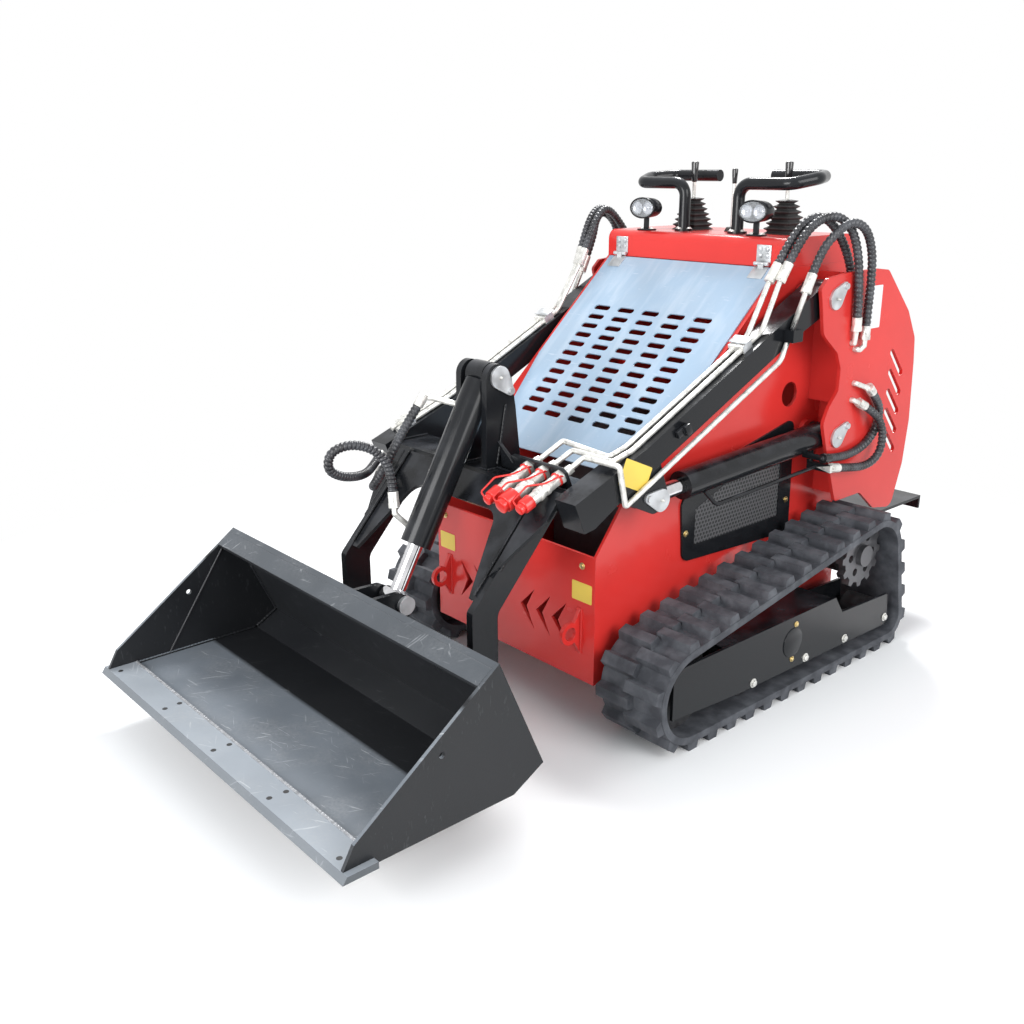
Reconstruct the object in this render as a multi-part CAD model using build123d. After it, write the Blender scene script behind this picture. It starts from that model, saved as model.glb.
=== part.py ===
from build123d import *
from functools import partial
from math import atan2, cos, degrees, hypot, pi, radians, sin, tan
import os

# Small tracked stand-on skid steer loader with a bucket.
# Millimetres. The machine is drawn with y = 0 on its front panel, z = 0 on the ground and x = 0 on its
# middle, front towards -Y, its own left side at +X. Every piece is moved at the end so that the origin
# lies on the ground under the middle of the overall length.
# Points written as pairs are (y, z), seen from the side.

# Overall
BUCKET_TIP_Y = -862.0
PLATFORM_END_Y = 1342.0
SEAT = 0.3          # gap left where pieces of different bodies or soft pieces seat
RUNNING = 0.05      # radial gap of a pin in its bore

# Body box
BODY_HALF = 300.0
BODY_WALL = 8.0
BODY_FLOOR = 120.0
BODY_REAR = 1010.0
FRONT_PANEL_TOP = 445.0
SLOPE_FOOT = (88.0, 560.0)
SLOPE_HEAD = (646.0, 1062.0)
CONSOLE_TOP = 1134.0
CONSOLE_WALL = 5.0
SIDE_HOLE = (722.0, 730.0)
SIDE_HOLE_RADIUS = 33.0

# Hood
HOOD_HALF = 288.0
HOOD_FOOT_HALF = 236.0
HOOD_SHEET = 4.0
HOOD_FOOT_Y = 138.0
HOOD_SLOT = (46.0, 13.0)
HOOD_SLOT_COLUMNS = 5
HOOD_SLOT_ROWS = 12
HOOD_SLOT_FIELD = (354.0, 366.0)
HOOD_SLOT_FIRST_Y = 228.0
HINGE_X = 210.0
HINGE_HALF = 24.0
HINGE_SPLIT = 8.0
HINGE_KNUCKLE = 5.0
HINGE_PIN = (SLOPE_HEAD[0] - 10.0, SLOPE_HEAD[1] + 8.0)

# Towers that carry the arms
TOWER_PLATE = 10.0
TOWER_OUT = 400.0
WEB_Y = 811.0

# Pivots
ARM_PIVOT = (743.0, 986.0)
LIFT_BASE = (805.0, 617.0)
KNEE = (122.0, 582.0)
TILT_TOP = (-80.0, 845.0)
TILT_FOOT = (-360.0, 352.0)
BUCKET_PIVOT = (-300.0, 190.0)
PIN_RADIUS = 20.0
LEG_PIN_RADIUS = 16.0

# Arms
ARM_MIDDLE = 350.0
ARM_WIDTH = 64.0
ARM_CHEEK = 10.0
LEG_OUT = 260.0
LEG_PLATE = 20.0

# Cylinders
LIFT_BORE_OD = 70.0
LIFT_ROD = 40.0
TILT_BORE_OD = 74.0
TILT_ROD = 36.0

# Bucket
BUCKET_HALF = 530.0
BUCKET_SHEET = 8.0
EDGE_OVERHANG = 15.0
EDGE_THICK = 14.0

# Tracks
TRACK_OUT = 522.0
TRACK_WIDTH = 190.0
LUG_HEIGHT = 20.0
BELT_THICK = 18.0
TRACK_LINKS = 34
ROLLER_RADIUS = 43.7
IDLER_RADIUS = 101.2
SPROCKET_RADIUS = 92.7
IDLER_Y = 113.0
SPROCKET_AT = (880.0, 283.0)
REAR_ROLLER_Y = 973.0
ROLLER_YS = (358.0, 581.0, 765.0)
FRAME_OUT = 505.0

HOSE_OD = 22.0
TUBE_OD = 13.0
FERRULE_RADIUS = 12.5
NUT_LENGTH = 12.0
FITTING_LENGTH = 50.0
LINE_GAP = 0.8       # gap between a steel line and the arm, less than that of its clamps

TO_ORIGIN = Pos(0, -(BUCKET_TIP_Y + PLATFORM_END_Y) / 2, 0)


def side_plate(outline, x_from, x_to, radii=None):
    """Solid between two x planes with an outline of (y, z) corners, sharp or with a radius each."""
    if radii is None:
        face = Polygon(*outline, align=None)
    else:
        face = make_face(FilletPolyline(*[(y, z, 0) for y, z in outline], radius=radii, close=True))
    return extrude(Plane.YZ.offset(x_from) * face, amount=x_to - x_from, dir=(1, 0, 0))


def cross_bar(at, radius, x_from, x_to):
    """Round bar along X through the (y, z) point."""
    face = Plane.YZ.offset(x_from) * Pos(at[0], at[1]) * Circle(radius)
    return extrude(face, amount=x_to - x_from, dir=(1, 0, 0))


def block(x_from, x_to, y_from, y_to, z_from, z_to):
    """Square block between six planes."""
    size = (x_to - x_from, y_to - y_from, z_to - z_from)
    return Pos(x_from, y_from, z_from) * Box(*size, align=(Align.MIN, Align.MIN, Align.MIN))


def both_sides(shape):
    """The shape and its mirror image in the middle plane."""
    return [shape, mirror(shape, about=Plane.YZ)]


def mirrored(shape):
    return mirror(shape, about=Plane.YZ)


def along(start, end, distance):
    """Point at a distance from start on the line to end, in the side view."""
    reach = hypot(end[0] - start[0], end[1] - start[1])
    share = distance / reach
    return (start[0] + (end[0] - start[0]) * share, start[1] + (end[1] - start[1]) * share)


def bar_between(start, end, radius, x):
    """Round bar at one x between two (y, z) points."""
    reach = hypot(end[0] - start[0], end[1] - start[1])
    plane = Plane(
        origin=(x, start[0], start[1]),
        x_dir=(1, 0, 0),
        z_dir=(0, end[0] - start[0], end[1] - start[1]),
    )
    return extrude(plane * Circle(radius), amount=reach)


def rod_between(start, end, radius):
    """Round bar between two points in space."""
    plane = Plane(origin=start, z_dir=Vector(*end) - Vector(*start))
    return extrude(plane * Circle(radius), amount=(Vector(*end) - Vector(*start)).length)


def pipe(points, radius):
    """Round pipe through the points with a ball at each corner."""
    shapes = [rod_between(a, b, radius) for a, b in zip(points, points[1:])]
    shapes += [Pos(*corner) * Sphere(radius) for corner in points[1:-1]]
    return fuse_all(shapes)


def bent_tube(points, radius, bend):
    """Tube swept along straight runs with one bend radius."""
    path = FilletPolyline(*points, radius=[bend] * (len(points) - 2))
    return sweep(Plane(origin=path @ 0, z_dir=path % 0) * Circle(radius), path=path)


def beyond(hose_end, hose_next, distance):
    """Point straight beyond a hose's end."""
    heading = (Vector(*hose_end) - Vector(*hose_next)).normalized()
    return tuple(Vector(*hose_end) + heading * distance)


def ferrule(hose_end, hose_next, length):
    """Crimped sleeve face to face with a hose's end, and its nut."""
    far = beyond(hose_end, hose_next, length)
    sleeve = rod_between(hose_end, far, FERRULE_RADIUS)
    nut_start = beyond(hose_end, hose_next, length - NUT_LENGTH)
    plane = Plane(origin=nut_start, z_dir=Vector(*far) - Vector(*nut_start))
    return sleeve.fuse(extrude(plane * RegularPolygon(FERRULE_RADIUS + 1, 6), amount=NUT_LENGTH))


def hood_z(y):
    """Height of the sloping top of the body at y."""
    rise = (SLOPE_HEAD[1] - SLOPE_FOOT[1]) / (SLOPE_HEAD[0] - SLOPE_FOOT[0])
    return SLOPE_FOOT[1] + rise * (y - SLOPE_FOOT[0])


def fuse_all(shapes):
    """One solid from pieces that touch or overlap."""
    first, *others = shapes
    return first.fuse(*others) if others else first


# Body

def chevron(tip_x, side):
    """Arrow-shaped cut-out of the front panel that points to the middle: x across, z up."""
    reach = 52.0
    corners = [
        (tip_x, 254.0),
        (tip_x + reach, 306.0),
        (tip_x + reach * 0.45, 254.0),
        (tip_x + reach, 198.0),
    ]
    face = Plane.XZ * Polygon(*[(side * x, z) for x, z in corners], align=None)
    return extrude(face, amount=BODY_WALL * 3, both=True)


def main_frame():
    """Welded body: side walls, floor, front panel with chevrons, rear wall and sloped top flanges."""
    wall = side_plate(
        [
            (0, BODY_FLOOR),
            (0, FRONT_PANEL_TOP),
            SLOPE_FOOT,
            (SLOPE_HEAD[0], SLOPE_HEAD[1]),
            (BODY_REAR, SLOPE_HEAD[1]),
            (BODY_REAR, BODY_FLOOR),
        ],
        BODY_HALF - BODY_WALL,
        BODY_HALF,
    )
    wall -= cross_bar(SIDE_HOLE, SIDE_HOLE_RADIUS, BODY_HALF - 2 * BODY_WALL, BODY_HALF + BODY_WALL)
    flange_width = 26.0
    drop = BODY_WALL
    flange = side_plate(
        [
            SLOPE_FOOT,
            SLOPE_HEAD,
            (SLOPE_HEAD[0], SLOPE_HEAD[1] - drop * 1.4),
            (SLOPE_FOOT[0], SLOPE_FOOT[1] - drop * 1.4),
        ],
        BODY_HALF - BODY_WALL - flange_width,
        BODY_HALF - BODY_WALL,
    )
    flange = Pos(0, 0, -SEAT * 1.4) * flange
    pieces = both_sides(wall) + both_sides(flange)
    inner = BODY_HALF - BODY_WALL
    pieces.append(block(-inner, inner, 0, BODY_REAR, BODY_FLOOR, BODY_FLOOR + BODY_WALL))
    pieces.append(block(-inner, inner, BODY_REAR - BODY_WALL, BODY_REAR, BODY_FLOOR, SLOPE_HEAD[1]))
    front = block(-inner, inner, 0, BODY_WALL, BODY_FLOOR, FRONT_PANEL_TOP)
    for tip_x in (38.0, 96.0, 153.0):
        for side in (-1, 1):
            front -= chevron(tip_x, side)
    pieces.append(front)
    return fuse_all(pieces)


def console():
    """Folded cover over the controls, open below, its upper front and rear edges rounded."""
    outer = side_plate(
        [
            (SLOPE_HEAD[0], SLOPE_HEAD[1]),
            (SLOPE_HEAD[0], CONSOLE_TOP),
            (BODY_REAR - 60, CONSOLE_TOP),
            (BODY_REAR, SLOPE_HEAD[1]),
        ],
        -BODY_HALF,
        BODY_HALF,
        [0, 26.0, 40.0, 0],
    )
    inside = side_plate(
        [
            (SLOPE_HEAD[0] + CONSOLE_WALL, SLOPE_HEAD[1] - 1),
            (SLOPE_HEAD[0] + CONSOLE_WALL, CONSOLE_TOP - CONSOLE_WALL),
            (BODY_REAR - 60 - CONSOLE_WALL, CONSOLE_TOP - CONSOLE_WALL),
            (BODY_REAR - CONSOLE_WALL, SLOPE_HEAD[1] - 1),
        ],
        -BODY_HALF + CONSOLE_WALL,
        BODY_HALF - CONSOLE_WALL,
        [0, 21.0, 35.0, 0],
    )
    return outer - inside


def engine_block():
    """The engine under the hood as one plain mass on the floor."""
    return block(-190, 190, 330, 760, BODY_FLOOR + BODY_WALL, 640)


def vent_panel():
    """Cover plate on the side wall with its row of long openings."""
    corners = [(292, 528), (305, 362), (756, 340), (746, 663), (525, 616)]
    panel = side_plate(corners, BODY_HALF, BODY_HALF + 6, [34, 26, 26, 22, 60])
    for row in range(5):
        z = 418 + row * 34
        slot = Pos(0, 520 + row * 8, z) * Plane.YZ * SlotOverall(300 - row * 14, 14)
        panel -= extrude(slot, amount=BODY_HALF + 20, dir=(1, 0, 0))
    return panel


def tower():
    """Outer plate that carries the arm and the lift cylinder, its rear web and top flange."""
    outline = [
        (677, 1015), (704, 1040), (809, 1049), (926, 1050), (987, 1043), (1112, 924),
        (1161, 846), (1170, 776), (1180, 607), (1168, 481), (1127, 355), (1030, 372),
        (950, 434), (826, 434), (766, 581), (737, 663), (758, 705), (795, 744), (796, 802),
        (775, 845), (704, 899), (687, 980),
    ]
    radii = [12, 14, 0, 0, 22, 50, 40, 0, 80, 60, 30, 20, 30, 10, 60, 24, 40, 20, 20, 20, 40, 0]
    plate = side_plate(outline, TOWER_OUT - TOWER_PLATE, TOWER_OUT, radii)
    for at in (ARM_PIVOT, LIFT_BASE):
        plate -= cross_bar(at, PIN_RADIUS, BODY_HALF, TOWER_OUT + 1)
    for step in range(5):
        slot = Pos(0, 1076, 785 - step * 55) * Plane.YZ * Rot(0, 0, -48) * SlotOverall(98, 13)
        plate -= extrude(slot, amount=TOWER_OUT + 20, dir=(1, 0, 0))
    web = block(BODY_HALF, TOWER_OUT - TOWER_PLATE, WEB_Y, WEB_Y + 8, 706, 1046)
    low_web = block(BODY_HALF, TOWER_OUT - TOWER_PLATE, 868, 876, 440, 706)
    bosses = []
    for at, radius in ((ARM_PIVOT, 34.0), (LIFT_BASE, 34.0)):
        boss = cross_bar(at, radius, BODY_HALF, ARM_MIDDLE - ARM_WIDTH / 2 - 5)
        bosses.append(boss - cross_bar(at, PIN_RADIUS, BODY_HALF - 1, TOWER_OUT))
    return Compound([fuse_all([plate, web, low_web])] + bosses)


def lock_plate(at, x, toward):
    """Teardrop plate that keeps a pin from turning, with its small bolt."""
    tail = along(at, toward, 46.0)
    hull = make_hull(
        (Pos(at[0], at[1]) * Circle(27)).edges() + (Pos(tail[0], tail[1]) * Circle(11)).edges()
    )
    plate = extrude(Plane.YZ.offset(x) * hull, amount=6, dir=(1, 0, 0))
    bolt = cross_bar(tail, 8, x + 6, x + 12)
    return plate.fuse(bolt)


def tower_pins():
    """Arm pivot pins and lift cylinder base pins with their lock plates."""
    shapes = []
    for at, toward in ((ARM_PIVOT, (771.0, 1010.0)), (LIFT_BASE, (840.0, 642.0))):
        pin = cross_bar(at, PIN_RADIUS, BODY_HALF, TOWER_OUT)
        pin = pin.fuse(lock_plate(at, TOWER_OUT, toward))
        shapes += both_sides(pin)
    return Compound(shapes)


def hood():
    """Slotted sloping cover, wider at its head, with folded side edges."""
    slope = atan2(SLOPE_HEAD[1] - SLOPE_FOOT[1], SLOPE_HEAD[0] - SLOPE_FOOT[0])
    head = (SLOPE_HEAD[0] - 4, hood_z(SLOPE_HEAD[0] - 4))
    length = (head[0] - HOOD_FOOT_Y) / cos(slope)
    plane = Plane(
        origin=(0, HOOD_FOOT_Y, hood_z(HOOD_FOOT_Y)), x_dir=(1, 0, 0), z_dir=(0, -sin(slope), cos(slope))
    )
    neck = length * 0.45
    outline = [
        (-HOOD_FOOT_HALF, 0), (HOOD_FOOT_HALF, 0), (HOOD_HALF, neck), (HOOD_HALF, length),
        (-HOOD_HALF, length), (-HOOD_HALF, neck),
    ]
    sheet = extrude(plane * Polygon(*outline, align=None), amount=HOOD_SHEET)
    pitch_x = (HOOD_SLOT_FIELD[0]) / (HOOD_SLOT_COLUMNS - 1)
    pitch_y = (HOOD_SLOT_FIELD[1]) / (HOOD_SLOT_ROWS - 1)
    first = (HOOD_SLOT_FIRST_Y - HOOD_FOOT_Y) / cos(slope)
    slots = [
        plane * Pos((column - 2) * pitch_x, first + row * pitch_y, -1) * SlotOverall(*HOOD_SLOT)
        for column in range(HOOD_SLOT_COLUMNS)
        for row in range(HOOD_SLOT_ROWS)
    ]
    cutters = [extrude(slot, amount=HOOD_SHEET + 2) for slot in slots]
    leaves = []
    for x in (-HINGE_X, HINGE_X):
        leaf = plane * Pos(x, length - 36, HOOD_SHEET + 1.5) * Box(2 * HINGE_HALF, 60, 3)
        knuckle = cross_bar(HINGE_PIN, HINGE_KNUCKLE, x - HINGE_SPLIT, x + HINGE_SPLIT)
        web = block(x - HINGE_SPLIT, x + HINGE_SPLIT, HINGE_PIN[0] - 5, HINGE_PIN[0] + 2,
                    HINGE_PIN[1] - 11, HINGE_PIN[1])
        leaves += [leaf, knuckle, web]
    return fuse_all([sheet.cut(*cutters)] + leaves)


def hood_hinges():
    """Upper hinge leaves on the console front, each with two knuckles."""
    shapes = []
    for x in (-HINGE_X, HINGE_X):
        pieces = [block(x - HINGE_HALF, x + HINGE_HALF, SLOPE_HEAD[0] - 3, SLOPE_HEAD[0],
                        HINGE_PIN[1], HINGE_PIN[1] + 44)]
        for side in (-1, 1):
            low, high = sorted((x + side * (HINGE_SPLIT + SEAT), x + side * HINGE_HALF))
            pieces.append(block(low, high, HINGE_PIN[0], SLOPE_HEAD[0], HINGE_PIN[1] - 1.5, HINGE_PIN[1] + 1.5))
            pieces.append(cross_bar(HINGE_PIN, HINGE_KNUCKLE, low, high))
        shapes.append(fuse_all(pieces))
    return Compound(shapes)


# Undercarriage

def wheel_centres():
    """Centre and lug tip radius of the front idler, rear roller and sprocket."""
    tip = SEAT + BELT_THICK + LUG_HEIGHT
    return [
        ((IDLER_Y, IDLER_RADIUS + tip), IDLER_RADIUS + tip),
        ((REAR_ROLLER_Y, ROLLER_RADIUS + tip), ROLLER_RADIUS + tip),
        (SPROCKET_AT, SPROCKET_RADIUS + tip),
    ]


def track_loop(inset):
    """Closed band around the three end wheels, drawn inset from the lug tips."""
    edges = []
    for (y, z), radius in wheel_centres():
        edges += (Pos(y, z) * Circle(radius - inset)).edges()
    return make_hull(edges)


def track(x_from):
    """Rubber belt with two staggered rows of lugs."""
    inner_inset = LUG_HEIGHT + BELT_THICK
    face = track_loop(LUG_HEIGHT) - track_loop(inner_inset)
    belt = extrude(Plane.YZ.offset(x_from) * face, amount=TRACK_WIDTH, dir=(1, 0, 0))
    path = track_loop(LUG_HEIGHT).face().outer_wire()
    bite = 4.0
    base, crown = 21.0, 14.0
    half = TRACK_WIDTH / 2
    rows = ((0.0, x_from + 2, half + 6), (0.5, x_from + half - 8, half + 6))
    lugs = []
    for phase, x_start, width in rows:
        for link in range(TRACK_LINKS):
            share = ((link + phase) / TRACK_LINKS) % 1.0
            point = path.position_at(share)
            heading = path.tangent_at(share)
            outward = Vector(heading.Y, -heading.X)
            middle = Vector(sum(c[0][0] for c in wheel_centres()) / 3, 150)
            if (point - middle).dot(outward) < 0:
                outward = outward * -1
            corners = [
                point + heading * base - outward * bite,
                point + heading * crown + outward * LUG_HEIGHT,
                point - heading * crown + outward * LUG_HEIGHT,
                point - heading * base - outward * bite,
            ]
            lugs.append(side_plate([(c.X, c.Y) for c in corners], x_start, x_start + width))
    return belt.fuse(*lugs)


def track_frame():
    """Roller frame: outer plate, inner plate and top plate, stopped short of the sprocket."""
    outline = [(52, 90), (52, 215), (705, 216), (743, 164), (975, 154), (986, 60), (300, 74)]
    outer = side_plate(outline, FRAME_OUT - 8, FRAME_OUT)
    inner = side_plate(outline, 345, 353)
    roof = block(353, FRAME_OUT - 8, 240, 700, 206, 214)
    mount = block(BODY_HALF, 345, 200, 700, 150, 205)
    return fuse_all([outer, inner, roof, mount])


def track_wheels():
    """Front idler, rollers and rear roller of both tracks."""
    shapes = []
    idler_z = wheel_centres()[0][0][1]
    roller_z = wheel_centres()[1][0][1]
    for x in (1, -1):
        def wheel(at, radius):
            low, high = sorted((x * 382, x * 470))
            a, b = sorted((x * 353, x * (FRAME_OUT - 8)))
            return cross_bar(at, radius, low, high).fuse(cross_bar(at, 16, a, b))
        shapes.append(wheel((IDLER_Y, idler_z), IDLER_RADIUS))
        for y in ROLLER_YS + (REAR_ROLLER_Y,):
            shapes.append(wheel((y, roller_z), ROLLER_RADIUS))
    return Compound(shapes)


def sprocket():
    """Toothed drive wheel with lightening holes."""
    teeth = 12
    disc = cross_bar(SPROCKET_AT, SPROCKET_RADIUS - 14, 444, 466)
    tooth_pitch = 2 * pi / teeth
    outline = []
    for tooth in range(teeth):
        for share, radius in ((-0.32, -16), (-0.16, 0), (0.16, 0), (0.32, -16)):
            angle = (tooth + share) * tooth_pitch
            reach = SPROCKET_RADIUS + radius
            outline.append((SPROCKET_AT[0] + reach * cos(angle), SPROCKET_AT[1] + reach * sin(angle)))
    disc = disc.fuse(side_plate(outline, 444, 466))
    for hole in range(6):
        angle = hole * pi / 3
        at = (SPROCKET_AT[0] + 52 * cos(angle), SPROCKET_AT[1] + 52 * sin(angle))
        disc -= cross_bar(at, 11, 440, 470)
    hub = cross_bar(SPROCKET_AT, 30, 466, 482)
    return disc.fuse(hub)


def drive_motor():
    """Travel motor and gear case between body wall and sprocket."""
    case = cross_bar(SPROCKET_AT, 62, BODY_HALF, 420)
    return case.fuse(cross_bar(SPROCKET_AT, 38, 420, 444))


def stand_platform():
    """Step plate behind the body with its side brackets."""
    deck = block(-380, 380, BODY_REAR, PLATFORM_END_Y, 332, 340)
    lip = block(-380, 380, PLATFORM_END_Y - 8, PLATFORM_END_Y, 300, 332)
    bracket = side_plate([(BODY_REAR, 250), (BODY_REAR, 332), (PLATFORM_END_Y - 8, 332)], 282, 290)
    return fuse_all([deck, lip] + both_sides(bracket))


def tow_eyes():
    """Ring plates that stand out of the front panel."""
    shapes = []
    for x in (-250, 250):
        ring = Pos(-34, 250) * Circle(28)
        foot = Polygon((0, 190), (0, 309), (-22, 272), (-22, 228), align=None)
        hole = Pos(-34, 250) * Circle(17)
        face = ring + foot - hole
        shapes.append(extrude(Plane.YZ.offset(x - 5) * face, amount=10, dir=(1, 0, 0)))
    return Compound(shapes)


def work_lamps():
    """Two oval lamps on their stalks at the front edge of the console."""
    shapes = []
    for x in (-187, 187):
        shell = Pos(x, 662, 1190) * Rot(90, 0, 0) * extrude(Ellipse(40, 27), amount=-46)
        stalk = Pos(x, 690, CONSOLE_TOP) * Cylinder(8, 40, align=(Align.CENTER, Align.CENTER, Align.MIN))
        shapes.append(shell.fuse(stalk))
    return Compound(shapes)


def grab_handles():
    """Bent tubes around the levers, one on each side."""
    shapes = []
    for side in (-1, 1):
        route = [
            (92 * side, 730, CONSOLE_TOP + 6),
            (92 * side, 730, 1262),
            (255 * side, 730, 1262),
            (285 * side, 800, 1275),
            (255 * side, 880, 1280),
            (92 * side, 880, 1280),
        ]
        path = FilletPolyline(*route, radius=[36, 36, 36, 36])
        start = Plane(origin=path @ 0, z_dir=path % 0)
        tube = sweep(start * Circle(16), path=path)
        foot = Pos(92 * side, 730, CONSOLE_TOP) * Cylinder(
            26, 6, align=(Align.CENTER, Align.CENTER, Align.MIN)
        )
        shapes.append(tube.fuse(foot))
    return Compound(shapes)


def control_levers():
    """Two joysticks with pleated boots and one short lever between them."""
    shapes = []
    for x, y in ((-122, 806), (192, 806)):
        profile = [(0, CONSOLE_TOP), (42, CONSOLE_TOP)]
        for pleat in range(5):
            z = CONSOLE_TOP + 8 + pleat * 12
            outer = 42 - pleat * 4.5
            profile += [(outer - 8, z), (outer, z + 6)]
        profile += [(18, CONSOLE_TOP + 72), (7, CONSOLE_TOP + 74), (7, CONSOLE_TOP + 120)]
        profile += [(14, CONSOLE_TOP + 124), (15, CONSOLE_TOP + 168), (9, CONSOLE_TOP + 180)]
        profile += [(0, CONSOLE_TOP + 180)]
        face = Plane.XZ * Polygon(*profile, align=None)
        shapes.append(Pos(x, y, 0) * revolve(face, axis=Axis.Z))
    lever = Pos(35, 800, CONSOLE_TOP) * Cylinder(8, 150, align=(Align.CENTER, Align.CENTER, Align.MIN))
    shapes.append(lever)
    return Compound(shapes)


# Lift arms

ARM_TOP = [(729, 1027), (75, 712), (-150, 626)]
ARM_LOW = [(-120, 555), (-88, 560), (20, 620), (620, 905), (711, 939)]


def lift_arm():
    """Box arm with its pivot end and the two cheeks that hold the lift rod."""
    x_low = ARM_MIDDLE - ARM_WIDTH / 2
    x_high = ARM_MIDDLE + ARM_WIDTH / 2
    beam = side_plate(ARM_TOP + ARM_LOW, x_low, x_high)
    end = cross_bar(ARM_PIVOT, 46, x_low, x_high)
    arm = beam.fuse(end)
    cheek = [(115, 680), (146, 600), (146, 560), (100, 552), (2, 598), (0, 640)]
    for start in (x_low, x_high - ARM_CHEEK):
        arm = arm.fuse(side_plate(cheek, start, start + ARM_CHEEK, [0, 30, 22, 22, 0, 0]))
    arm -= cross_bar(ARM_PIVOT, PIN_RADIUS + RUNNING, x_low - 1, x_high + 1)
    pocket = side_plate(
        [(90, 540), (175, 540), (205, 640), (90, 650), (60, 600)], x_low + ARM_CHEEK, x_high - ARM_CHEEK
    )
    return arm - pocket


YOKE_TOP = 630.0
YOKE_HEAD = (-119.0, YOKE_TOP)
YOKE_BEND = (-336.0, 390.0)


def yoke_front():
    """Plane on the inclined front of the legs: x across, y up the slope from the bend, z to the front."""
    rise = Vector(0, YOKE_HEAD[0] - YOKE_BEND[0], YOKE_HEAD[1] - YOKE_BEND[1])
    return Plane(origin=(0, *YOKE_BEND), x_dir=(1, 0, 0), z_dir=Vector(1, 0, 0).cross(rise))


def arm_yoke():
    """Cross-member, the two bent legs down to the bucket and the arched plate between them."""
    leg = side_plate(
        [YOKE_HEAD, YOKE_BEND, (-336, 154), (-264, 154), (-264, 372), (-60, 598)],
        LEG_OUT - LEG_PLATE,
        LEG_OUT,
        [0, 20, 35, 35, 30, 0],
    )
    leg -= cross_bar(BUCKET_PIVOT, LEG_PIN_RADIUS + RUNNING, LEG_OUT - 2 * LEG_PLATE, LEG_OUT + 10)
    inner = ARM_MIDDLE - ARM_WIDTH / 2
    beam = block(-inner, inner, YOKE_HEAD[0] - 6, -10, YOKE_TOP - 40, YOKE_TOP)
    front = yoke_front()
    reach = hypot(YOKE_HEAD[0] - YOKE_BEND[0], YOKE_HEAD[1] - YOKE_BEND[1])
    inside = LEG_OUT - LEG_PLATE / 2
    sheet = Polygon((-inside, 30), (inside, 30), (inside, reach - 2), (-inside, reach - 2), align=None)
    arch = make_face(
        FilletPolyline(
            (-inside + 22, 10), (-inside + 96, reach - 86), (inside - 96, reach - 86), (inside - 22, 10),
            radius=[0, 46, 46, 0], close=True,
        )
    )
    plate = extrude(front * (sheet - arch), amount=-10)
    wedges = []
    for side in (-1, 1):
        corners = [(inside, 92), (inside, reach - 2), (inner, reach - 2), (inner, 250)]
        face = front * Polygon(*[(side * a, b) for a, b in corners], align=None)
        wedges.append(extrude(face, amount=-10))
    slab = Pos(0, 0, 0) * fuse_all([plate] + wedges)
    return fuse_all([beam, Pos(0, 1.5, -1.5) * slab] + both_sides(leg))


def tilt_bracket():
    """Two plates on the cross-member that hold the head of the tilt cylinder."""
    outline = [
        (-122, YOKE_TOP), (-118, 866), (-80, 882), (-44, 850), (-30, 770), (-14, YOKE_TOP),
    ]
    plate = side_plate(outline, 38, 56, [0, 34, 30, 34, 60, 0])
    plate -= cross_bar(TILT_TOP, PIN_RADIUS, 30, 60)
    return Compound(both_sides(plate))


def coupler_plate():
    """Upright plate on the cross-member that carries the three quick couplers."""
    plate = block(66, 226, -52, -42, YOKE_TOP, 690)
    for x in COUPLER_XS:
        plate -= bar_between((-80, COUPLER_Z), (-20, COUPLER_Z), 12, x)
    return plate


COUPLER_XS = (96.0, 146.0, 196.0)
COUPLER_Z = 664.0


def quick_couplers():
    """Three hydraulic couplers with their caps."""
    shapes = []
    for x in COUPLER_XS:
        stem = bar_between((-36, COUPLER_Z), (-70, COUPLER_Z), 12, x)
        nut = bar_between((-70, COUPLER_Z), (-84, COUPLER_Z), 17, x)
        sleeve = bar_between((-84, COUPLER_Z), (-140, COUPLER_Z), 15, x)
        cap = bar_between((-140, COUPLER_Z), (-176, COUPLER_Z), 20, x)
        shapes.append(fuse_all([stem, nut, sleeve, cap]))
    return Compound(shapes)


def arm_top_rise(y):
    """Lower corner and slope angle of the arm's top edge at y."""
    corner, end = (ARM_TOP[1], ARM_TOP[0]) if y > ARM_TOP[1][0] else (ARM_TOP[2], ARM_TOP[1])
    return corner, atan2(end[1] - corner[1], end[0] - corner[0])


def arm_top_z(y, above):
    """Height of a line that runs a distance above the arm's top edge."""
    corner, rise = arm_top_rise(y)
    return corner[1] + (y - corner[0]) * tan(rise) + above / cos(rise)


def arm_clamp(y, x_from, x_to):
    """Block that holds the lines down on the arm's top edge."""
    rise = arm_top_rise(y)[1]
    plane = Plane(origin=(0, y, arm_top_z(y, SEAT)), x_dir=(1, 0, 0), z_dir=(0, -sin(rise), cos(rise)))
    size = (x_to - x_from, 34, TUBE_OD + 7)
    return plane * Pos((x_from + x_to) / 2, 0, size[2] / 2) * Box(*size)


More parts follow.
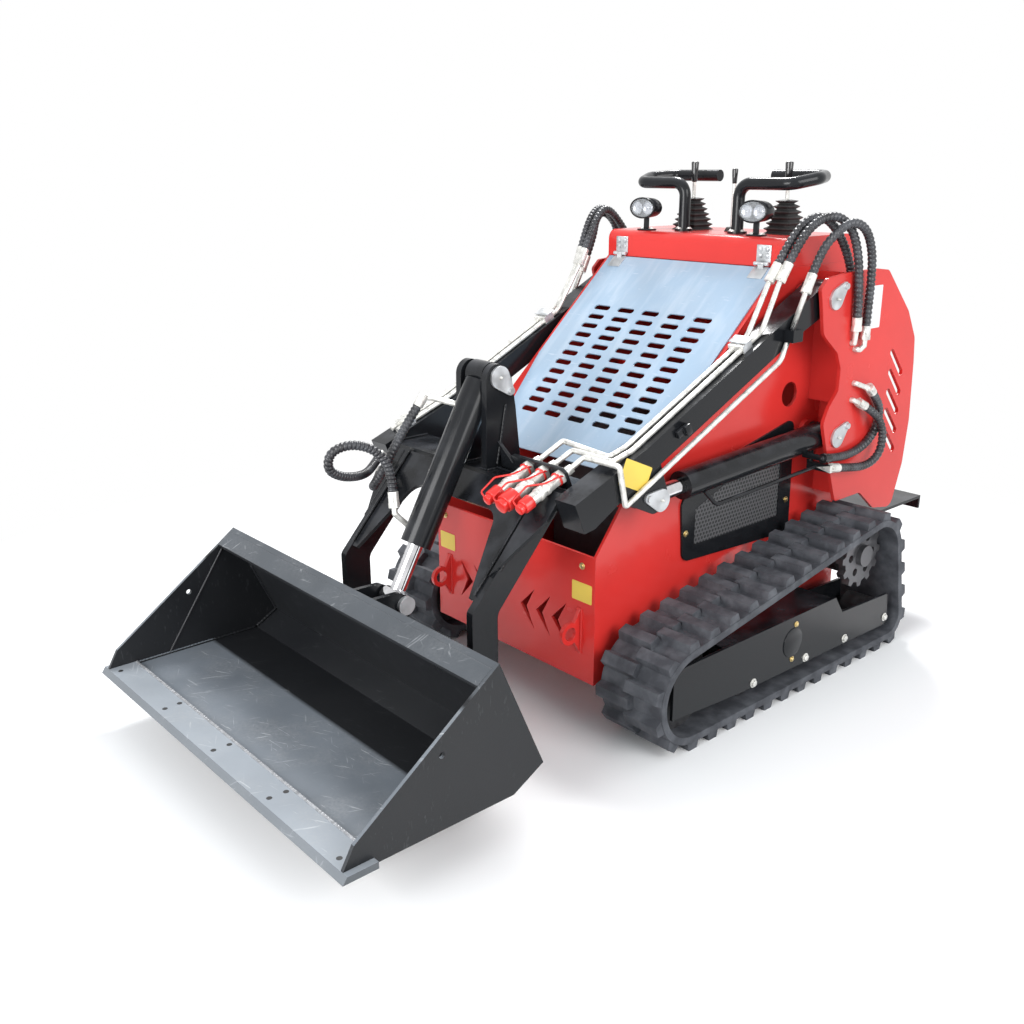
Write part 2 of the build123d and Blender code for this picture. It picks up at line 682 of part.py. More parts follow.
def arm_lines():
    """Steel lines along each arm's top and lower edge, their clamps and the hose fittings."""
    above = TUBE_OD / 2 + LINE_GAP
    pieces = []
    for letter, x, bend_y in (("a", 334.0, 475.0), ("b", 358.0, 500.0)):
        hose_end, hose_next = ARM_HOSES[letter][:2]
        nut = beyond(hose_end, hose_next, FITTING_LENGTH - 4)
        route = [
            (x, -100, arm_top_z(-100, above)), (x, 75, arm_top_z(75, above)),
            (x, bend_y, arm_top_z(bend_y, above)), nut,
        ]
        pieces.append(bent_tube(route, TUBE_OD / 2, 40))
        pieces.append(ferrule(hose_end, hose_next, FITTING_LENGTH))
    pieces += [arm_clamp(y, 324, 368) for y in (-60, 150, 438)]
    top = fuse_all(pieces)
    hose_end, hose_next = ARM_HOSES["c"][:2]
    x = ARM_MIDDLE + ARM_WIDTH / 2 + above
    low = [(x, 60, 623), (x, 541, 852), beyond(hose_end, hose_next, FITTING_LENGTH - 4)]
    side = [
        bent_tube(low, TUBE_OD / 2, 40),
        ferrule(hose_end, hose_next, FITTING_LENGTH),
        block(x - above + SEAT, x + 22, 556, 596, 896, 926),
        block(x - above + SEAT, x + 9, 240, 266, 706, 735),
    ]
    shapes = both_sides(top) + both_sides(fuse_all(side))
    for letter in TILT_HOSES:
        hose_end, hose_next = TILT_HOSES[letter][-1], TILT_HOSES[letter][-2]
        elbow = Vector(*beyond(hose_end, hose_next, 26))
        front = yoke_front()
        depth = (elbow - front.origin).dot(front.z_dir)
        foot = elbow - front.z_dir * (depth - SEAT)
        stub = pipe([beyond(hose_end, hose_next, 14), tuple(elbow), tuple(foot)], 9)
        shapes.append(rod_between(hose_end, beyond(hose_end, hose_next, 20), FERRULE_RADIUS).fuse(stub))
    return Compound(shapes)


def arm_pins():
    """Knee pin ends with lock plates and the tilt cylinder's head pin."""
    shapes = []
    x_high = ARM_MIDDLE + ARM_WIDTH / 2
    shapes += both_sides(lock_plate(KNEE, x_high, (60.0, 600.0)))
    head = cross_bar(TILT_TOP, PIN_RADIUS, -56, 56)
    head = head.fuse(lock_plate(TILT_TOP, 56, (-40.0, 800.0)))
    shapes.append(head)
    return Compound(shapes)


# Bucket

BUCKET_LOW = 127.0
EDGE_BACK = -786.0
BUCKET_SIDE = [
    (-489, 424), (-376, 169), (-455, BUCKET_LOW), (EDGE_BACK, BUCKET_LOW),
    (EDGE_BACK, BUCKET_LOW + EDGE_THICK), (-851, BUCKET_LOW + EDGE_THICK), (-826, 184),
]


def bucket():
    """Open bucket: folded back and floor sheet, two side plates and the flat bar along its top."""
    inner = BUCKET_HALF - BUCKET_SHEET
    back = [(-489, 424), (-376, 169), (-455, BUCKET_LOW), (EDGE_BACK, BUCKET_LOW)]
    inside = [
        (EDGE_BACK, BUCKET_LOW + BUCKET_SHEET), (-452, BUCKET_LOW + BUCKET_SHEET),
        (-388, 170), (-498, 420),
    ]
    sheet = side_plate(back + inside, -inner, inner)
    bar = side_plate([(-489, 424), (-498, 416), (-548, 406), (-550, 414)], -inner, inner)
    side = side_plate(BUCKET_SIDE, inner, BUCKET_HALF)
    side -= cross_bar((-480, 300), 9, inner - 1, BUCKET_HALF + 1)
    return fuse_all([sheet, bar] + both_sides(side))


def cutting_edge():
    """Thick plate along the lip, wider than the bucket."""
    half = BUCKET_HALF + EDGE_OVERHANG
    front = side_plate(
        [
            (BUCKET_TIP_Y, BUCKET_LOW), (BUCKET_TIP_Y + 10, BUCKET_LOW + EDGE_THICK),
            (EDGE_BACK, BUCKET_LOW + EDGE_THICK), (EDGE_BACK, BUCKET_LOW),
        ],
        -half,
        half,
    )
    return front


def attach_plate():
    """Plate behind the bucket with the ears for the legs and the tilt rod."""
    top = (-489.0, 424.0)
    fold = (-376.0, 169.0)
    up = ((top[0] - fold[0]), (top[1] - fold[1]))
    size = hypot(*up)
    up = (up[0] / size, up[1] / size)
    out = (up[1], -up[0])
    def at(height, off):
        return (fold[0] + up[0] * height + out[0] * off, fold[1] + up[1] * height + out[1] * off)
    back = side_plate([at(10, 0), at(240, 0), at(240, 12), at(10, 12)], -285, 285)
    pieces = [back]
    low_ear = [at(14, 12), at(100, 12), (-268, 215), (-268, 160), (-330, 154)]
    for x in (LEG_OUT - LEG_PLATE - 14, LEG_OUT + 4):
        pieces += both_sides(side_plate(low_ear, x, x + 10, [0, 0, 24, 24, 12]))
    high_ear = [at(130, 12), at(235, 12), (-372, 386), (-330, 352), (-350, 318)]
    pieces += both_sides(side_plate(high_ear, 32, 44, [0, 0, 24, 24, 24]))
    plate = fuse_all(pieces)
    for side in (-1, 1):
        low, high = sorted((side * (LEG_OUT - 40), side * (LEG_OUT + 30)))
        plate -= cross_bar(BUCKET_PIVOT, LEG_PIN_RADIUS, low, high)
    return plate


def attach_pins():
    """Pins through ears and legs, and the ends of the tilt rod's pin."""
    shapes = []
    pin = cross_bar(BUCKET_PIVOT, LEG_PIN_RADIUS, LEG_OUT - LEG_PLATE - 14, LEG_OUT + 14)
    head = cross_bar(BUCKET_PIVOT, LEG_PIN_RADIUS + 8, LEG_OUT + 14, LEG_OUT + 20)
    shapes += both_sides(pin.fuse(head))
    shapes += both_sides(cross_bar(TILT_FOOT, 22, 44, 54))
    return Compound(shapes)


# Cylinders

def barrel(base, rod_end, od, rod_diameter, x, eye_half, length):
    """Cylinder tube with its base eye; the gland faces the rod end."""
    start = along(base, rod_end, 20.0)
    end = along(base, rod_end, length)
    tube = bar_between(start, end, od / 2, x)
    rod_way = bar_between(along(base, rod_end, 70.0), along(base, rod_end, length + 5), rod_diameter / 2 + SEAT, x)
    eye = cross_bar(base, 32, x - eye_half, x + eye_half)
    shape = tube.fuse(eye) - rod_way
    return shape - cross_bar(base, PIN_RADIUS + RUNNING, x - eye_half - 1, x + eye_half + 1)


def lift_barrel():
    """Left lift cylinder tube with its port block, hose fittings and the line along its underside."""
    tube = barrel(LIFT_BASE, KNEE, LIFT_BORE_OD, LIFT_ROD, ARM_MIDDLE, 26, 575)
    reach_a = LIFT_HOSES["a"][-1], LIFT_HOSES["a"][-2]
    reach_b = LIFT_HOSES["b"][-1], LIFT_HOSES["b"][-2]
    elbow = beyond(*reach_a, 32)
    pieces = [
        tube,
        block(362, 434, 734, 750, 538, 558),
        pipe([(366, 742, 548), (366, 742, 590)], 8),
        ferrule(*reach_a, 30),
        pipe([beyond(*reach_a, 20), elbow, (362, elbow[1], elbow[2])], 8),
        ferrule(*reach_b, 36),
        bent_tube([(388, 738, 547), (388, 320, 530), (375, 292, 566)], 5, 20),
    ]
    return fuse_all(pieces)


def tilt_cylinder_tube():
    """Tilt cylinder tube with its two ports and elbows."""
    tube = barrel(TILT_TOP, TILT_FOOT, TILT_BORE_OD, TILT_ROD, 0, 30, 430)
    low = TILT_HOSES["a"][0], TILT_HOSES["a"][1]
    high = TILT_HOSES["b"][0], TILT_HOSES["b"][1]
    low_port = along(TILT_TOP, TILT_FOOT, 395.0)
    high_port = along(TILT_TOP, TILT_FOOT, 85.0)
    corner = beyond(*low, 52)
    pieces = [
        tube,
        ferrule(*low, 38),
        pipe([beyond(*low, 30), corner, (corner[0] + 12, *low_port), (-30, *low_port)], 7),
        ferrule(*high, 34),
        pipe([beyond(*high, 26), (-72, -168, 788), (-15, *high_port)], 7),
    ]
    return fuse_all(pieces)


def hose_fittings():
    """Sleeves and bent pipes that carry the hoses into the towers."""
    shapes = []
    plate = TOWER_OUT + SEAT
    tail = ARM_HOSES["a"][-1], ARM_HOSES["a"][-2]
    corner = beyond(*tail, 48)
    inner = pipe([beyond(*tail, 30), corner, (corner[0], WEB_Y + 8 + SEAT, corner[2])], 7)
    shapes.append(ferrule(*tail, 36).fuse(inner))
    tail = ARM_HOSES["b"][-1], ARM_HOSES["b"][-2]
    middle = pipe([beyond(*tail, 30), (409, 834, 866), (plate, 834, 866)], 7)
    shapes.append(ferrule(*tail, 36).fuse(middle))
    tail = ARM_HOSES["c"][-1], ARM_HOSES["c"][-2]
    hook = pipe([beyond(*tail, 30), (415, 873, 856), (411, 860, 846), (409, 850, 848), (plate, 850, 848)], 7)
    shapes.append(ferrule(*tail, 36).fuse(hook))
    for letter, at in (("a", (862, 756)), ("b", (858, 711))):
        head = LIFT_HOSES[letter][0], LIFT_HOSES[letter][1]
        bend = pipe([beyond(*head, 20), (409, *at), (plate, *at)], 7)
        shapes.append(ferrule(*head, 30).fuse(bend))
    return Compound(sum([both_sides(shape) for shape in shapes], []))


def rod(base, rod_end, diameter, x, eye_half, inside):
    """Chrome rod with its eye."""
    reach = hypot(rod_end[0] - base[0], rod_end[1] - base[1])
    shaft = bar_between(along(base, rod_end, inside), along(base, rod_end, reach - 20), diameter / 2, x)
    eye = cross_bar(rod_end, 28, x - eye_half, x + eye_half)
    return shaft.fuse(eye) - cross_bar(rod_end, PIN_RADIUS, x - eye_half - 1, x + eye_half + 1)


def hose_path(points):
    """Runs joined by arcs as large as the shorter run beside each corner allows, and their radii."""
    route = [Vector(*p) for p in points]
    radii = []
    for before, corner, after in zip(route, route[1:], route[2:]):
        turn = radians((corner - before).get_angle(after - corner))
        shorter = min((corner - before).length, (after - corner).length)
        radii.append(0.45 * shorter / tan(turn / 2))
    return FilletPolyline(*points, radius=radii), radii


def hose(name, points, diameter):
    path, radii = hose_path(points)
    start = Plane(origin=path @ 0, z_dir=path % 0)
    tube = sweep(start * Circle(diameter / 2), path=path)
    if name:
        print(name, "length", round(path.length), "radii", [round(r) for r in radii])
    return tube


def flipped(points):
    """The same route on the right side."""
    return [(-x, y, z) for x, y, z in points]


# Hose routes on the left side or in the middle: points (x, y, z) from the arm or cylinder to the tower
ARM_HOSES = {
    "a": [
        (334, 582, 1078), (340, 614, 1128), (349, 648, 1168), (360, 684, 1188), (370, 724, 1181),
        (375, 766, 1150), (376, 812, 1100), (376, 843, 1046), (375, 853, 996), (375, 855, 945),
    ],
    "b": [
        (358, 592, 1081), (366, 618, 1130), (376, 650, 1168), (388, 686, 1187), (399, 730, 1188),
        (409, 776, 1158), (413, 808, 1096), (414, 824, 1015), (414, 829, 934),
    ],
    "c": [
        (390, 647, 1053), (391, 674, 1106), (412, 704, 1152), (426, 744, 1177), (436, 796, 1160),
        (434, 838, 1100), (424, 862, 1018), (415, 875, 956), (415, 874, 908),
    ],
}
LIFT_HOSES = {
    "a": [
        (420, 930, 724), (417, 972, 691), (413, 991, 657), (412, 987, 627), (412, 967, 601),
        (412, 931, 578), (412, 880, 566), (414, 816, 564), (417, 748, 574),
    ],
    "b": [
        (420, 900, 690), (429, 934, 670), (436, 962, 639), (437, 979, 598), (436, 973, 557),
        (433, 944, 532), (431, 893, 526), (429, 838, 534), (427, 782, 543),
    ],
}
TILT_HOSES = {
    "a": [
        (-76, -298, 584), (-84, -295, 622), (-95, -304, 660), (-110, -332, 690), (-124, -380, 704),
        (-138, -424, 690), (-148, -428, 648), (-158, -392, 622), (-176, -340, 606),
        (-208, -284, 597), (-248, -236, 600), (-280, -198, 608),
    ],
    "b": [
        (-96, -204, 772), (-108, -240, 716), (-122, -268, 660), (-142, -286, 608), (-176, -288, 572),
        (-214, -258, 560), (-252, -216, 574),
    ],
}

NODES = {
    "main_frame": main_frame,
    "console": console,
    "engine_block": engine_block,
    "vent_panels": lambda: Compound(both_sides(vent_panel())),
    "tower_left": tower,
    "tower_right": lambda: mirrored(tower()),
    "tower_pins": tower_pins,
    "hood": hood,
    "hood_hinges": hood_hinges,
    "track_left": lambda: track(TRACK_OUT - TRACK_WIDTH),
    "track_right": lambda: mirrored(track(TRACK_OUT - TRACK_WIDTH)),
    "track_frame_left": track_frame,
    "track_frame_right": lambda: mirrored(track_frame()),
    "track_wheels": track_wheels,
    "sprockets": lambda: Compound(both_sides(sprocket())),
    "drive_motors": lambda: Compound(both_sides(drive_motor())),
    "stand_platform": stand_platform,
    "tow_eyes": tow_eyes,
    "work_lamps": work_lamps,
    "grab_handles": grab_handles,
    "control_levers": control_levers,
    "lift_arm_left": lift_arm,
    "lift_arm_right": lambda: mirrored(lift_arm()),
    "arm_yoke": arm_yoke,
    "tilt_bracket": tilt_bracket,
    "coupler_plate": coupler_plate,
    "quick_couplers": quick_couplers,
    "arm_lines": arm_lines,
    "arm_pins": arm_pins,
    "hose_fittings": hose_fittings,
    "bucket": bucket,
    "cutting_edge": cutting_edge,
    "attach_plate": attach_plate,
    "attach_pins": attach_pins,
    "lift_barrel_left": lift_barrel,
    "lift_barrel_right": lambda: mirrored(lift_barrel()),
    "lift_rod_left": lambda: rod(LIFT_BASE, KNEE, LIFT_ROD, ARM_MIDDLE, 20, 140),
    "lift_rod_right": lambda: rod(LIFT_BASE, KNEE, LIFT_ROD, -ARM_MIDDLE, 20, 140),
    "tilt_barrel": tilt_cylinder_tube,
    "tilt_rod": lambda: rod(TILT_TOP, TILT_FOOT, TILT_ROD, 0, 26, 150),
}
for letter, points in ARM_HOSES.items():
    NODES["arm_hose_left_" + letter] = partial(hose, "arm hose " + letter, points, HOSE_OD)
    NODES["arm_hose_right_" + letter] = partial(hose, "", flipped(points), HOSE_OD)
for letter, points in LIFT_HOSES.items():
    NODES["lift_hose_left_" + letter] = partial(hose, "lift hose " + letter, points, HOSE_OD)
    NODES["lift_hose_right_" + letter] = partial(hose, "", flipped(points), HOSE_OD)
for letter, points in TILT_HOSES.items():
    NODES["tilt_hose_" + letter] = partial(hose, "tilt hose " + letter, points, HOSE_OD)

os.makedirs("parts", exist_ok=True)
for name, build in NODES.items():
    export_step(TO_ORIGIN * build(), f"parts/{name}.step")
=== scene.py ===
"""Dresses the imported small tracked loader: finishes, hoses, fasteners, labels, lamps, lights and floor."""
import logging
import math
from dataclasses import dataclass, replace
from enum import Enum
from typing import Callable

import bpy
from mathutils import Matrix, Vector


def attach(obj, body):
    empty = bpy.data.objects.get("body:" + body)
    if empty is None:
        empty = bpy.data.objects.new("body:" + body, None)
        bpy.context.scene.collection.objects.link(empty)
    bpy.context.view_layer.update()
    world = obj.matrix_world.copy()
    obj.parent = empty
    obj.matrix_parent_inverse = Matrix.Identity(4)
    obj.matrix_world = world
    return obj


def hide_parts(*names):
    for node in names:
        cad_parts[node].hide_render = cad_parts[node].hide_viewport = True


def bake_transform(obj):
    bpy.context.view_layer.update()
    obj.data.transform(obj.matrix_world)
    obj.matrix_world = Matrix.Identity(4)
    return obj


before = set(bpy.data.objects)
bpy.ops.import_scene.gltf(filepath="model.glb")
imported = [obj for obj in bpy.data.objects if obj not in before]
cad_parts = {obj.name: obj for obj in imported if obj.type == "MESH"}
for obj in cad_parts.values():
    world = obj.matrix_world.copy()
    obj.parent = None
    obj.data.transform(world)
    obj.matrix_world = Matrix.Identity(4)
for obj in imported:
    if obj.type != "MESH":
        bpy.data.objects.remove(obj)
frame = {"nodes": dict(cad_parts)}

LOG = logging.getLogger("loader")

MM = 0.001
ORIGIN_SHIFT_Y = -240.0
HOSE_DIAMETER = 0.022
IMAGE_SIDE = 1024.0
SENSOR_WIDTH = 36.0
MERGE_DISTANCE = 0.00001
WHITE = (1.0, 1.0, 1.0)

Pair = tuple[float, float]
Point = tuple[float, float, float]
Color = tuple[float, float, float]
Socket = bpy.types.NodeSocket
Object = bpy.types.Object


def place(x: float, y: float, z: float) -> Vector:
    """Turn a drawing point into a point of the row frame.

    Args:
        x: Distance to the machine's left in mm.
        y: Distance behind the front panel in mm.
        z: Height in mm.

    Returns:
        The point in metres.
    """
    return Vector((x, y + ORIGIN_SHIFT_Y, z)) * MM


def link_new(name: str, data: bpy.types.ID) -> Object:
    """Make an object and link it into the scene.

    Args:
        name: Name of the object.
        data: What it shows.

    Returns:
        The object.
    """
    made = bpy.data.objects.new(name, data)
    bpy.context.scene.collection.objects.link(made)
    return made


def curve_along(name: str, points: list[Vector], kind: str = "NURBS", **settings: object) -> Object:
    """Curve that follows points, linked into the scene.

    Args:
        name: Name of the curve.
        points: Its control points in metres.
        kind: Type of its spline.
        **settings: Properties of the curve.

    Returns:
        The curve object.
    """
    curve = bpy.data.curves.new(name, "CURVE")
    curve.dimensions = "3D"
    for key, value in settings.items():
        setattr(curve, key, value)
    spline = curve.splines.new(kind)
    spline.points.add(len(points) - 1)
    for control, point in zip(spline.points, points):
        control.co = (*point, 1.0)
    if kind == "NURBS":
        spline.order_u = 3
        spline.use_endpoint_u = True
    return link_new(name, curve)


class Side(Enum):
    """A side of the machine and the sign of its x."""

    LEFT = 1
    RIGHT = -1

    @property
    def word(self) -> str:
        """Name used in the CAD nodes."""
        return self.name.lower()

    def of(self, point: Point) -> Point:
        """A point of the left side brought to this side."""
        return (self.value * point[0], *point[1:])


class NodeTree:
    """Small helper that adds and links shader nodes of a material or a world."""

    def __init__(
        self, owner: bpy.types.Material | bpy.types.World, output: str = "ShaderNodeOutputMaterial"
    ) -> None:
        """Empty the owner's node tree and add its output.

        Args:
            owner: Material or world.
            output: Type of the output node.
        """
        owner.use_nodes = True
        self.owner = owner
        self.tree = owner.node_tree
        self.tree.nodes.clear()
        self.output = self.add(output)
        self.coords = self.add("ShaderNodeTexCoord")

    def add(self, kind: str, **settings: object) -> bpy.types.Node:
        """Add a node and set its plain properties.

        Args:
            kind: Type of the node.
            **settings: Properties of the node.

        Returns:
            The node.
        """
        node = self.tree.nodes.new(kind)
        for key, value in settings.items():
            setattr(node, key, value)
        return node

    def link(self, source: Socket, target: Socket) -> None:
        """Link two sockets."""
        self.tree.links.new(source, target)

    def noise(
        self, scale: float, detail: float = 4.0, stretch: Point = (1.0, 1.0, 1.0), turn: float = 0.0
    ) -> Socket:
        """Noise from 0 to 1 on object coordinates.

        Args:
            scale: Cells in a metre.
            detail: Octaves.
            stretch: Factor along x, y and z.
            turn: Turn about z before the stretch, in degrees.

        Returns:
            The noise value.
        """
        vector = self.coords.outputs["Object"]
        if turn:
            turned = self.add("ShaderNodeVectorRotate", rotation_type="Z_AXIS")
            turned.inputs["Angle"].default_value = math.radians(turn)
            self.link(vector, turned.inputs["Vector"])
            vector = turned.outputs["Vector"]
        mapping = self.add("ShaderNodeMapping")
        mapping.inputs["Scale"].default_value = stretch
        self.link(vector, mapping.inputs["Vector"])
        node = self.add("ShaderNodeTexNoise")
        node.inputs["Scale"].default_value = scale
        node.inputs["Detail"].default_value = detail
        self.link(mapping.outputs["Vector"], node.inputs["Vector"])
        return node.outputs["Fac"]

    def ramp(self, value: Socket, low: float, high: float, bottom: float = 0.0, top: float = 1.0) -> Socket:
        """Map a value so that low gives the bottom and high gives the top, held at both ends.

        Args:
            value: Socket to read.
            low: Value that gives the bottom.
            high: Value that gives the top.
            bottom: Result at the low value.
            top: Result at the high value.

        Returns:
            The mapped value.
        """
        node = self.add("ShaderNodeMapRange", clamp=True)
        for name, number in (("From Min", low), ("From Max", high), ("To Min", bottom), ("To Max", top)):
            node.inputs[name].default_value = number
        self.link(value, node.inputs["Value"])
        return node.outputs["Result"]

    def combine(self, operation: str, first: Socket, *others: Socket | float) -> Socket:
        """Combine a value with further values or numbers, one after another, held from 0 to 1.

        Args:
            operation: Name of the operation.
            first: First value.
            *others: Sockets or numbers.

        Returns:
            The result.
        """
        for other in others:
            node = self.add("ShaderNodeMath", operation=operation, use_clamp=True)
            self.link(first, node.inputs[0])
            if isinstance(other, (int, float)):
                node.inputs[1].default_value = other
            else:
                self.link(other, node.inputs[1])
            first = node.outputs[0]
        return first

    def mix(self, factor: Socket, low: Socket | Color, high: Socket | Color) -> Socket:
        """Blend two colours by a factor.

        Args:
            factor: Share of the second colour.
            low: Colour or socket at 0.
            high: Colour or socket at 1.

        Returns:
            The colour.
        """
        node = self.add("ShaderNodeMix", data_type="RGBA")
        self.link(factor, node.inputs[0])
        for socket, value in ((node.inputs[6], low), (node.inputs[7], high)):
            if isinstance(value, tuple):
                socket.default_value = (*value, 1.0)
            else:
                self.link(value, socket)
        return node.outputs[2]

    def part(self, vector: Socket, axis: int) -> Socket:
        """One component of a vector."""
        split = self.add("ShaderNodeSeparateXYZ")
        self.link(vector, split.inputs[0])
        return split.outputs[axis]

    def upward(self, low: float, high: float) -> Socket:
        """How far a surface looks up, from 0 at the low to 1 at the high slope."""
        normal = self.add("ShaderNodeNewGeometry").outputs["Normal"]
        return self.ramp(self.part(normal, 2), low, high)

    def bump(self, height: Socket, distance: float, edge: float) -> Socket:
        """Normal with fine relief on softened edges.

        Args:
            height: Relief from 0 to 1.
            distance: Depth of the relief in metres.
            edge: Radius of the softened edges in metres.

        Returns:
            The normal.
        """
        node = self.add("ShaderNodeBump")
        node.inputs["Distance"].default_value = distance
        self.link(height, node.inputs["Height"])
        if edge > 0:
            bevel = self.add("ShaderNodeBevel", samples=4)
            bevel.inputs["Radius"].default_value = edge
            self.link(bevel.outputs["Normal"], node.inputs["Normal"])
        return node.outputs["Normal"]

    def shader(
        self, kind: str = "ShaderNodeBsdfPrincipled", **values: Socket | Color | float
    ) -> bpy.types.Node:
        """Add a surface shader with fixed numbers and linked sockets, and link it to the output.

        Args:
            kind: Type of the shader.
            **values: Socket name with underscores, and a number, colour or socket.

        Returns:
            The shader node.
        """
        node = self.add(kind)
        for key, value in values.items():
            socket = node.inputs[key.replace("_", " ")]
            if isinstance(value, bpy.types.NodeSocket):
                self.link(value, socket)
            elif isinstance(value, tuple):
                socket.default_value = (*value, 1.0)
            else:
                socket.default_value = value
        self.link(node.outputs[0], self.output.inputs["Surface"])
        return node

    def blend(self, factor: Socket, first: bpy.types.Node, second: bpy.types.Node) -> None:
        """Blend two shaders and link the result to the output.

        Args:
            factor: Share of the second shader.
            first: Shader at 0.
            second: Shader at 1.
        """
        node = self.add("ShaderNodeMixShader")
        for socket, source in zip(node.inputs, (factor, first.outputs[0], second.outputs[0])):
            self.link(source, socket)
        self.link(node.outputs[0], self.output.inputs["Surface"])


@dataclass(frozen=True)
class Enamel:
    """Glossy sprayed paint with slight orange peel, dust on top faces and fine wipe marks."""

    name: str
    color: Color
    dust: Color = (0.55, 0.53, 0.50)
    dust_share: float = 0.10
    roughness: float = 0.22
    coat: float = 0.4
    edge: float = 0.0016
    specular: float = 0.5
    scuffs: float = 0.0
    scuff_color: Color = (0.80, 0.84, 0.88)
    peel_depth: float = 0.00006

    def build(self) -> bpy.types.Material:
        """Make the finish.

        Returns:
            The material.
        """
        nodes = NodeTree(bpy.data.materials.new(self.name))
        shade = tuple(channel * 0.86 for channel in self.color)
        paint = nodes.mix(nodes.ramp(nodes.noise(3.0, 3.0), 0.35, 0.65), shade, self.color)
        patches = nodes.ramp(nodes.noise(14.0, 8.0), 0.42, 0.72)
        dusty = nodes.combine("MULTIPLY", nodes.upward(0.2, 0.95), patches, self.dust_share)
        smears = nodes.ramp(nodes.noise(9.0, 6.0, (3.0, 0.7, 0.7)), 0.48, 0.72)
        hairs = nodes.ramp(nodes.noise(60.0, 3.0, (0.4, 2.5, 2.5)), 0.66, 0.70)
        scuffed = nodes.combine("MULTIPLY", nodes.combine("MAXIMUM", smears, hairs), self.scuffs)
        nodes.shader(
            Base_Color=nodes.mix(scuffed, nodes.mix(dusty, paint, self.dust), self.scuff_color),
            Roughness=nodes.ramp(nodes.noise(14.0), 0.3, 0.7, self.roughness * 0.85, self.roughness * 1.25),
            Normal=nodes.bump(nodes.noise(420.0, 2.0), self.peel_depth, self.edge),
            Specular_IOR_Level=self.specular,
            Coat_Weight=self.coat,
            Coat_Roughness=0.08,
        )
        return nodes.owner


@dataclass(frozen=True)
class WornEnamel:
    """Black paint with a lighter colour on upward faces, partly real wear by earth and partly painted sheen
    and painted light, ahead of a painted shadow edge and, less, as painted sheen above a height; behind the
    edge the upward faces stay black as painted shadow.
    """

    name: str
    color: Color
    wear_and_sheen: Color
    bare: Color = (0.50, 0.52, 0.54)
    dust: Color = (0.36, 0.36, 0.36)
    wear_and_sheen_share: float = 0.95
    # Painted light: upward faces ahead of the edge at this object y get the lighter colour, and behind it
    # they keep the black as painted shadow of the back wall. Above the height on the next line, upward faces
    # get part of it as painted sheen with some wear.
    shadow_edge_y: float = -0.818
    sheen_and_wear_above: float = 0.372
    border: float = 0.006
    scratch_stretch: Point = (5.0, 0.30, 1.0)

    def scratches(self, nodes: NodeTree) -> Socket:
        """Long thin scratches in several directions.

        Args:
            nodes: Node tree of the material.

        Returns:
            Where the scratches are, from 0 to 1.
        """
        found = nodes.ramp(nodes.noise(36.0, 3.0, self.scratch_stretch, 62.0), 0.66, 0.69)
        for scale, turn in ((30.0, 118.0), (42.0, 84.0), (26.0, 24.0)):
            more = nodes.ramp(nodes.noise(scale, 3.0, self.scratch_stretch, turn), 0.68, 0.71)
            found = nodes.combine("MAXIMUM", found, more)
        return found

    def build(self) -> bpy.types.Material:
        """Make the finish.

        Returns:
            The material.
        """
        nodes = NodeTree(bpy.data.materials.new(self.name))
        spot = nodes.coords.outputs["Object"]
        line, height = self.shadow_edge_y, self.sheen_and_wear_above
        # Upward faces ahead of the painted shadow edge; behind it they stay black as painted shadow.
        ahead = nodes.ramp(nodes.part(spot, 1), line + self.border, line - self.border)
        # Painted sheen, with some wear, on upward faces above a height.
        high = nodes.ramp(nodes.part(spot, 2), height, height + 0.01)
        painted_light_mask = nodes.combine("MAXIMUM", ahead, nodes.combine("MULTIPLY", high, 0.40))
        upward = nodes.combine("MULTIPLY", nodes.upward(0.45, 0.90), painted_light_mask)
        clouds = nodes.ramp(nodes.noise(4.5, 5.0), 0.25, 0.75)
        grain = nodes.ramp(nodes.noise(160.0, 3.0), 0.30, 0.75)
        patches = nodes.ramp(nodes.noise(7.0, 6.0), 0.45, 0.62)
        share = nodes.combine("ADD", nodes.combine("MULTIPLY", clouds, 0.35), self.wear_and_sheen_share - 0.3)
        # Lighter colour on the masked upward faces: partly real wear, partly painted light and painted
        # sheen.
        base = nodes.mix(nodes.combine("MULTIPLY", upward, share), self.color, self.wear_and_sheen)
        seen = nodes.combine("ADD", upward, 0.05)
        # Scratches and dust follow the same painted-light mask.
        marked = nodes.combine("MULTIPLY", self.scratches(nodes), patches, 0.85, seen)
        dusted = nodes.combine("MULTIPLY", grain, patches, nodes.combine("MULTIPLY", upward, 0.3))
        nodes.shader(
            Base_Color=nodes.mix(dusted, nodes.mix(marked, base, self.bare), self.dust),
            Roughness=nodes.ramp(clouds, 0.0, 1.0, 0.26, 0.50),
            Normal=nodes.bump(nodes.noise(220.0, 5.0), 0.00015, 0.0016),
            Specular_IOR_Level=0.32,
        )
        return nodes.owner


@dataclass(frozen=True)
class Metal:
    """Plated or bare metal with cloudy roughness."""

    name: str
    color: Color
    roughness: float = 0.3
    metallic: float = 1.0
    grain: float = 60.0
    edge: float = 0.0008

    def build(self) -> bpy.types.Material:
        """Make the finish.

        Returns:
            The material.
        """
        nodes = NodeTree(bpy.data.materials.new(self.name))
        cloud = nodes.ramp(nodes.noise(self.grain, 6.0), 0.35, 0.7)
        nodes.shader(
            Base_Color=nodes.mix(cloud, tuple(channel * 0.72 for channel in self.color), self.color),
            Roughness=nodes.ramp(cloud, 0.0, 1.0, self.roughness * 0.7, min(1.0, self.roughness * 1.5)),
            Metallic=self.metallic,
            Normal=nodes.bump(nodes.noise(self.grain * 6, 3.0), 0.00008, self.edge),
        )
        return nodes.owner


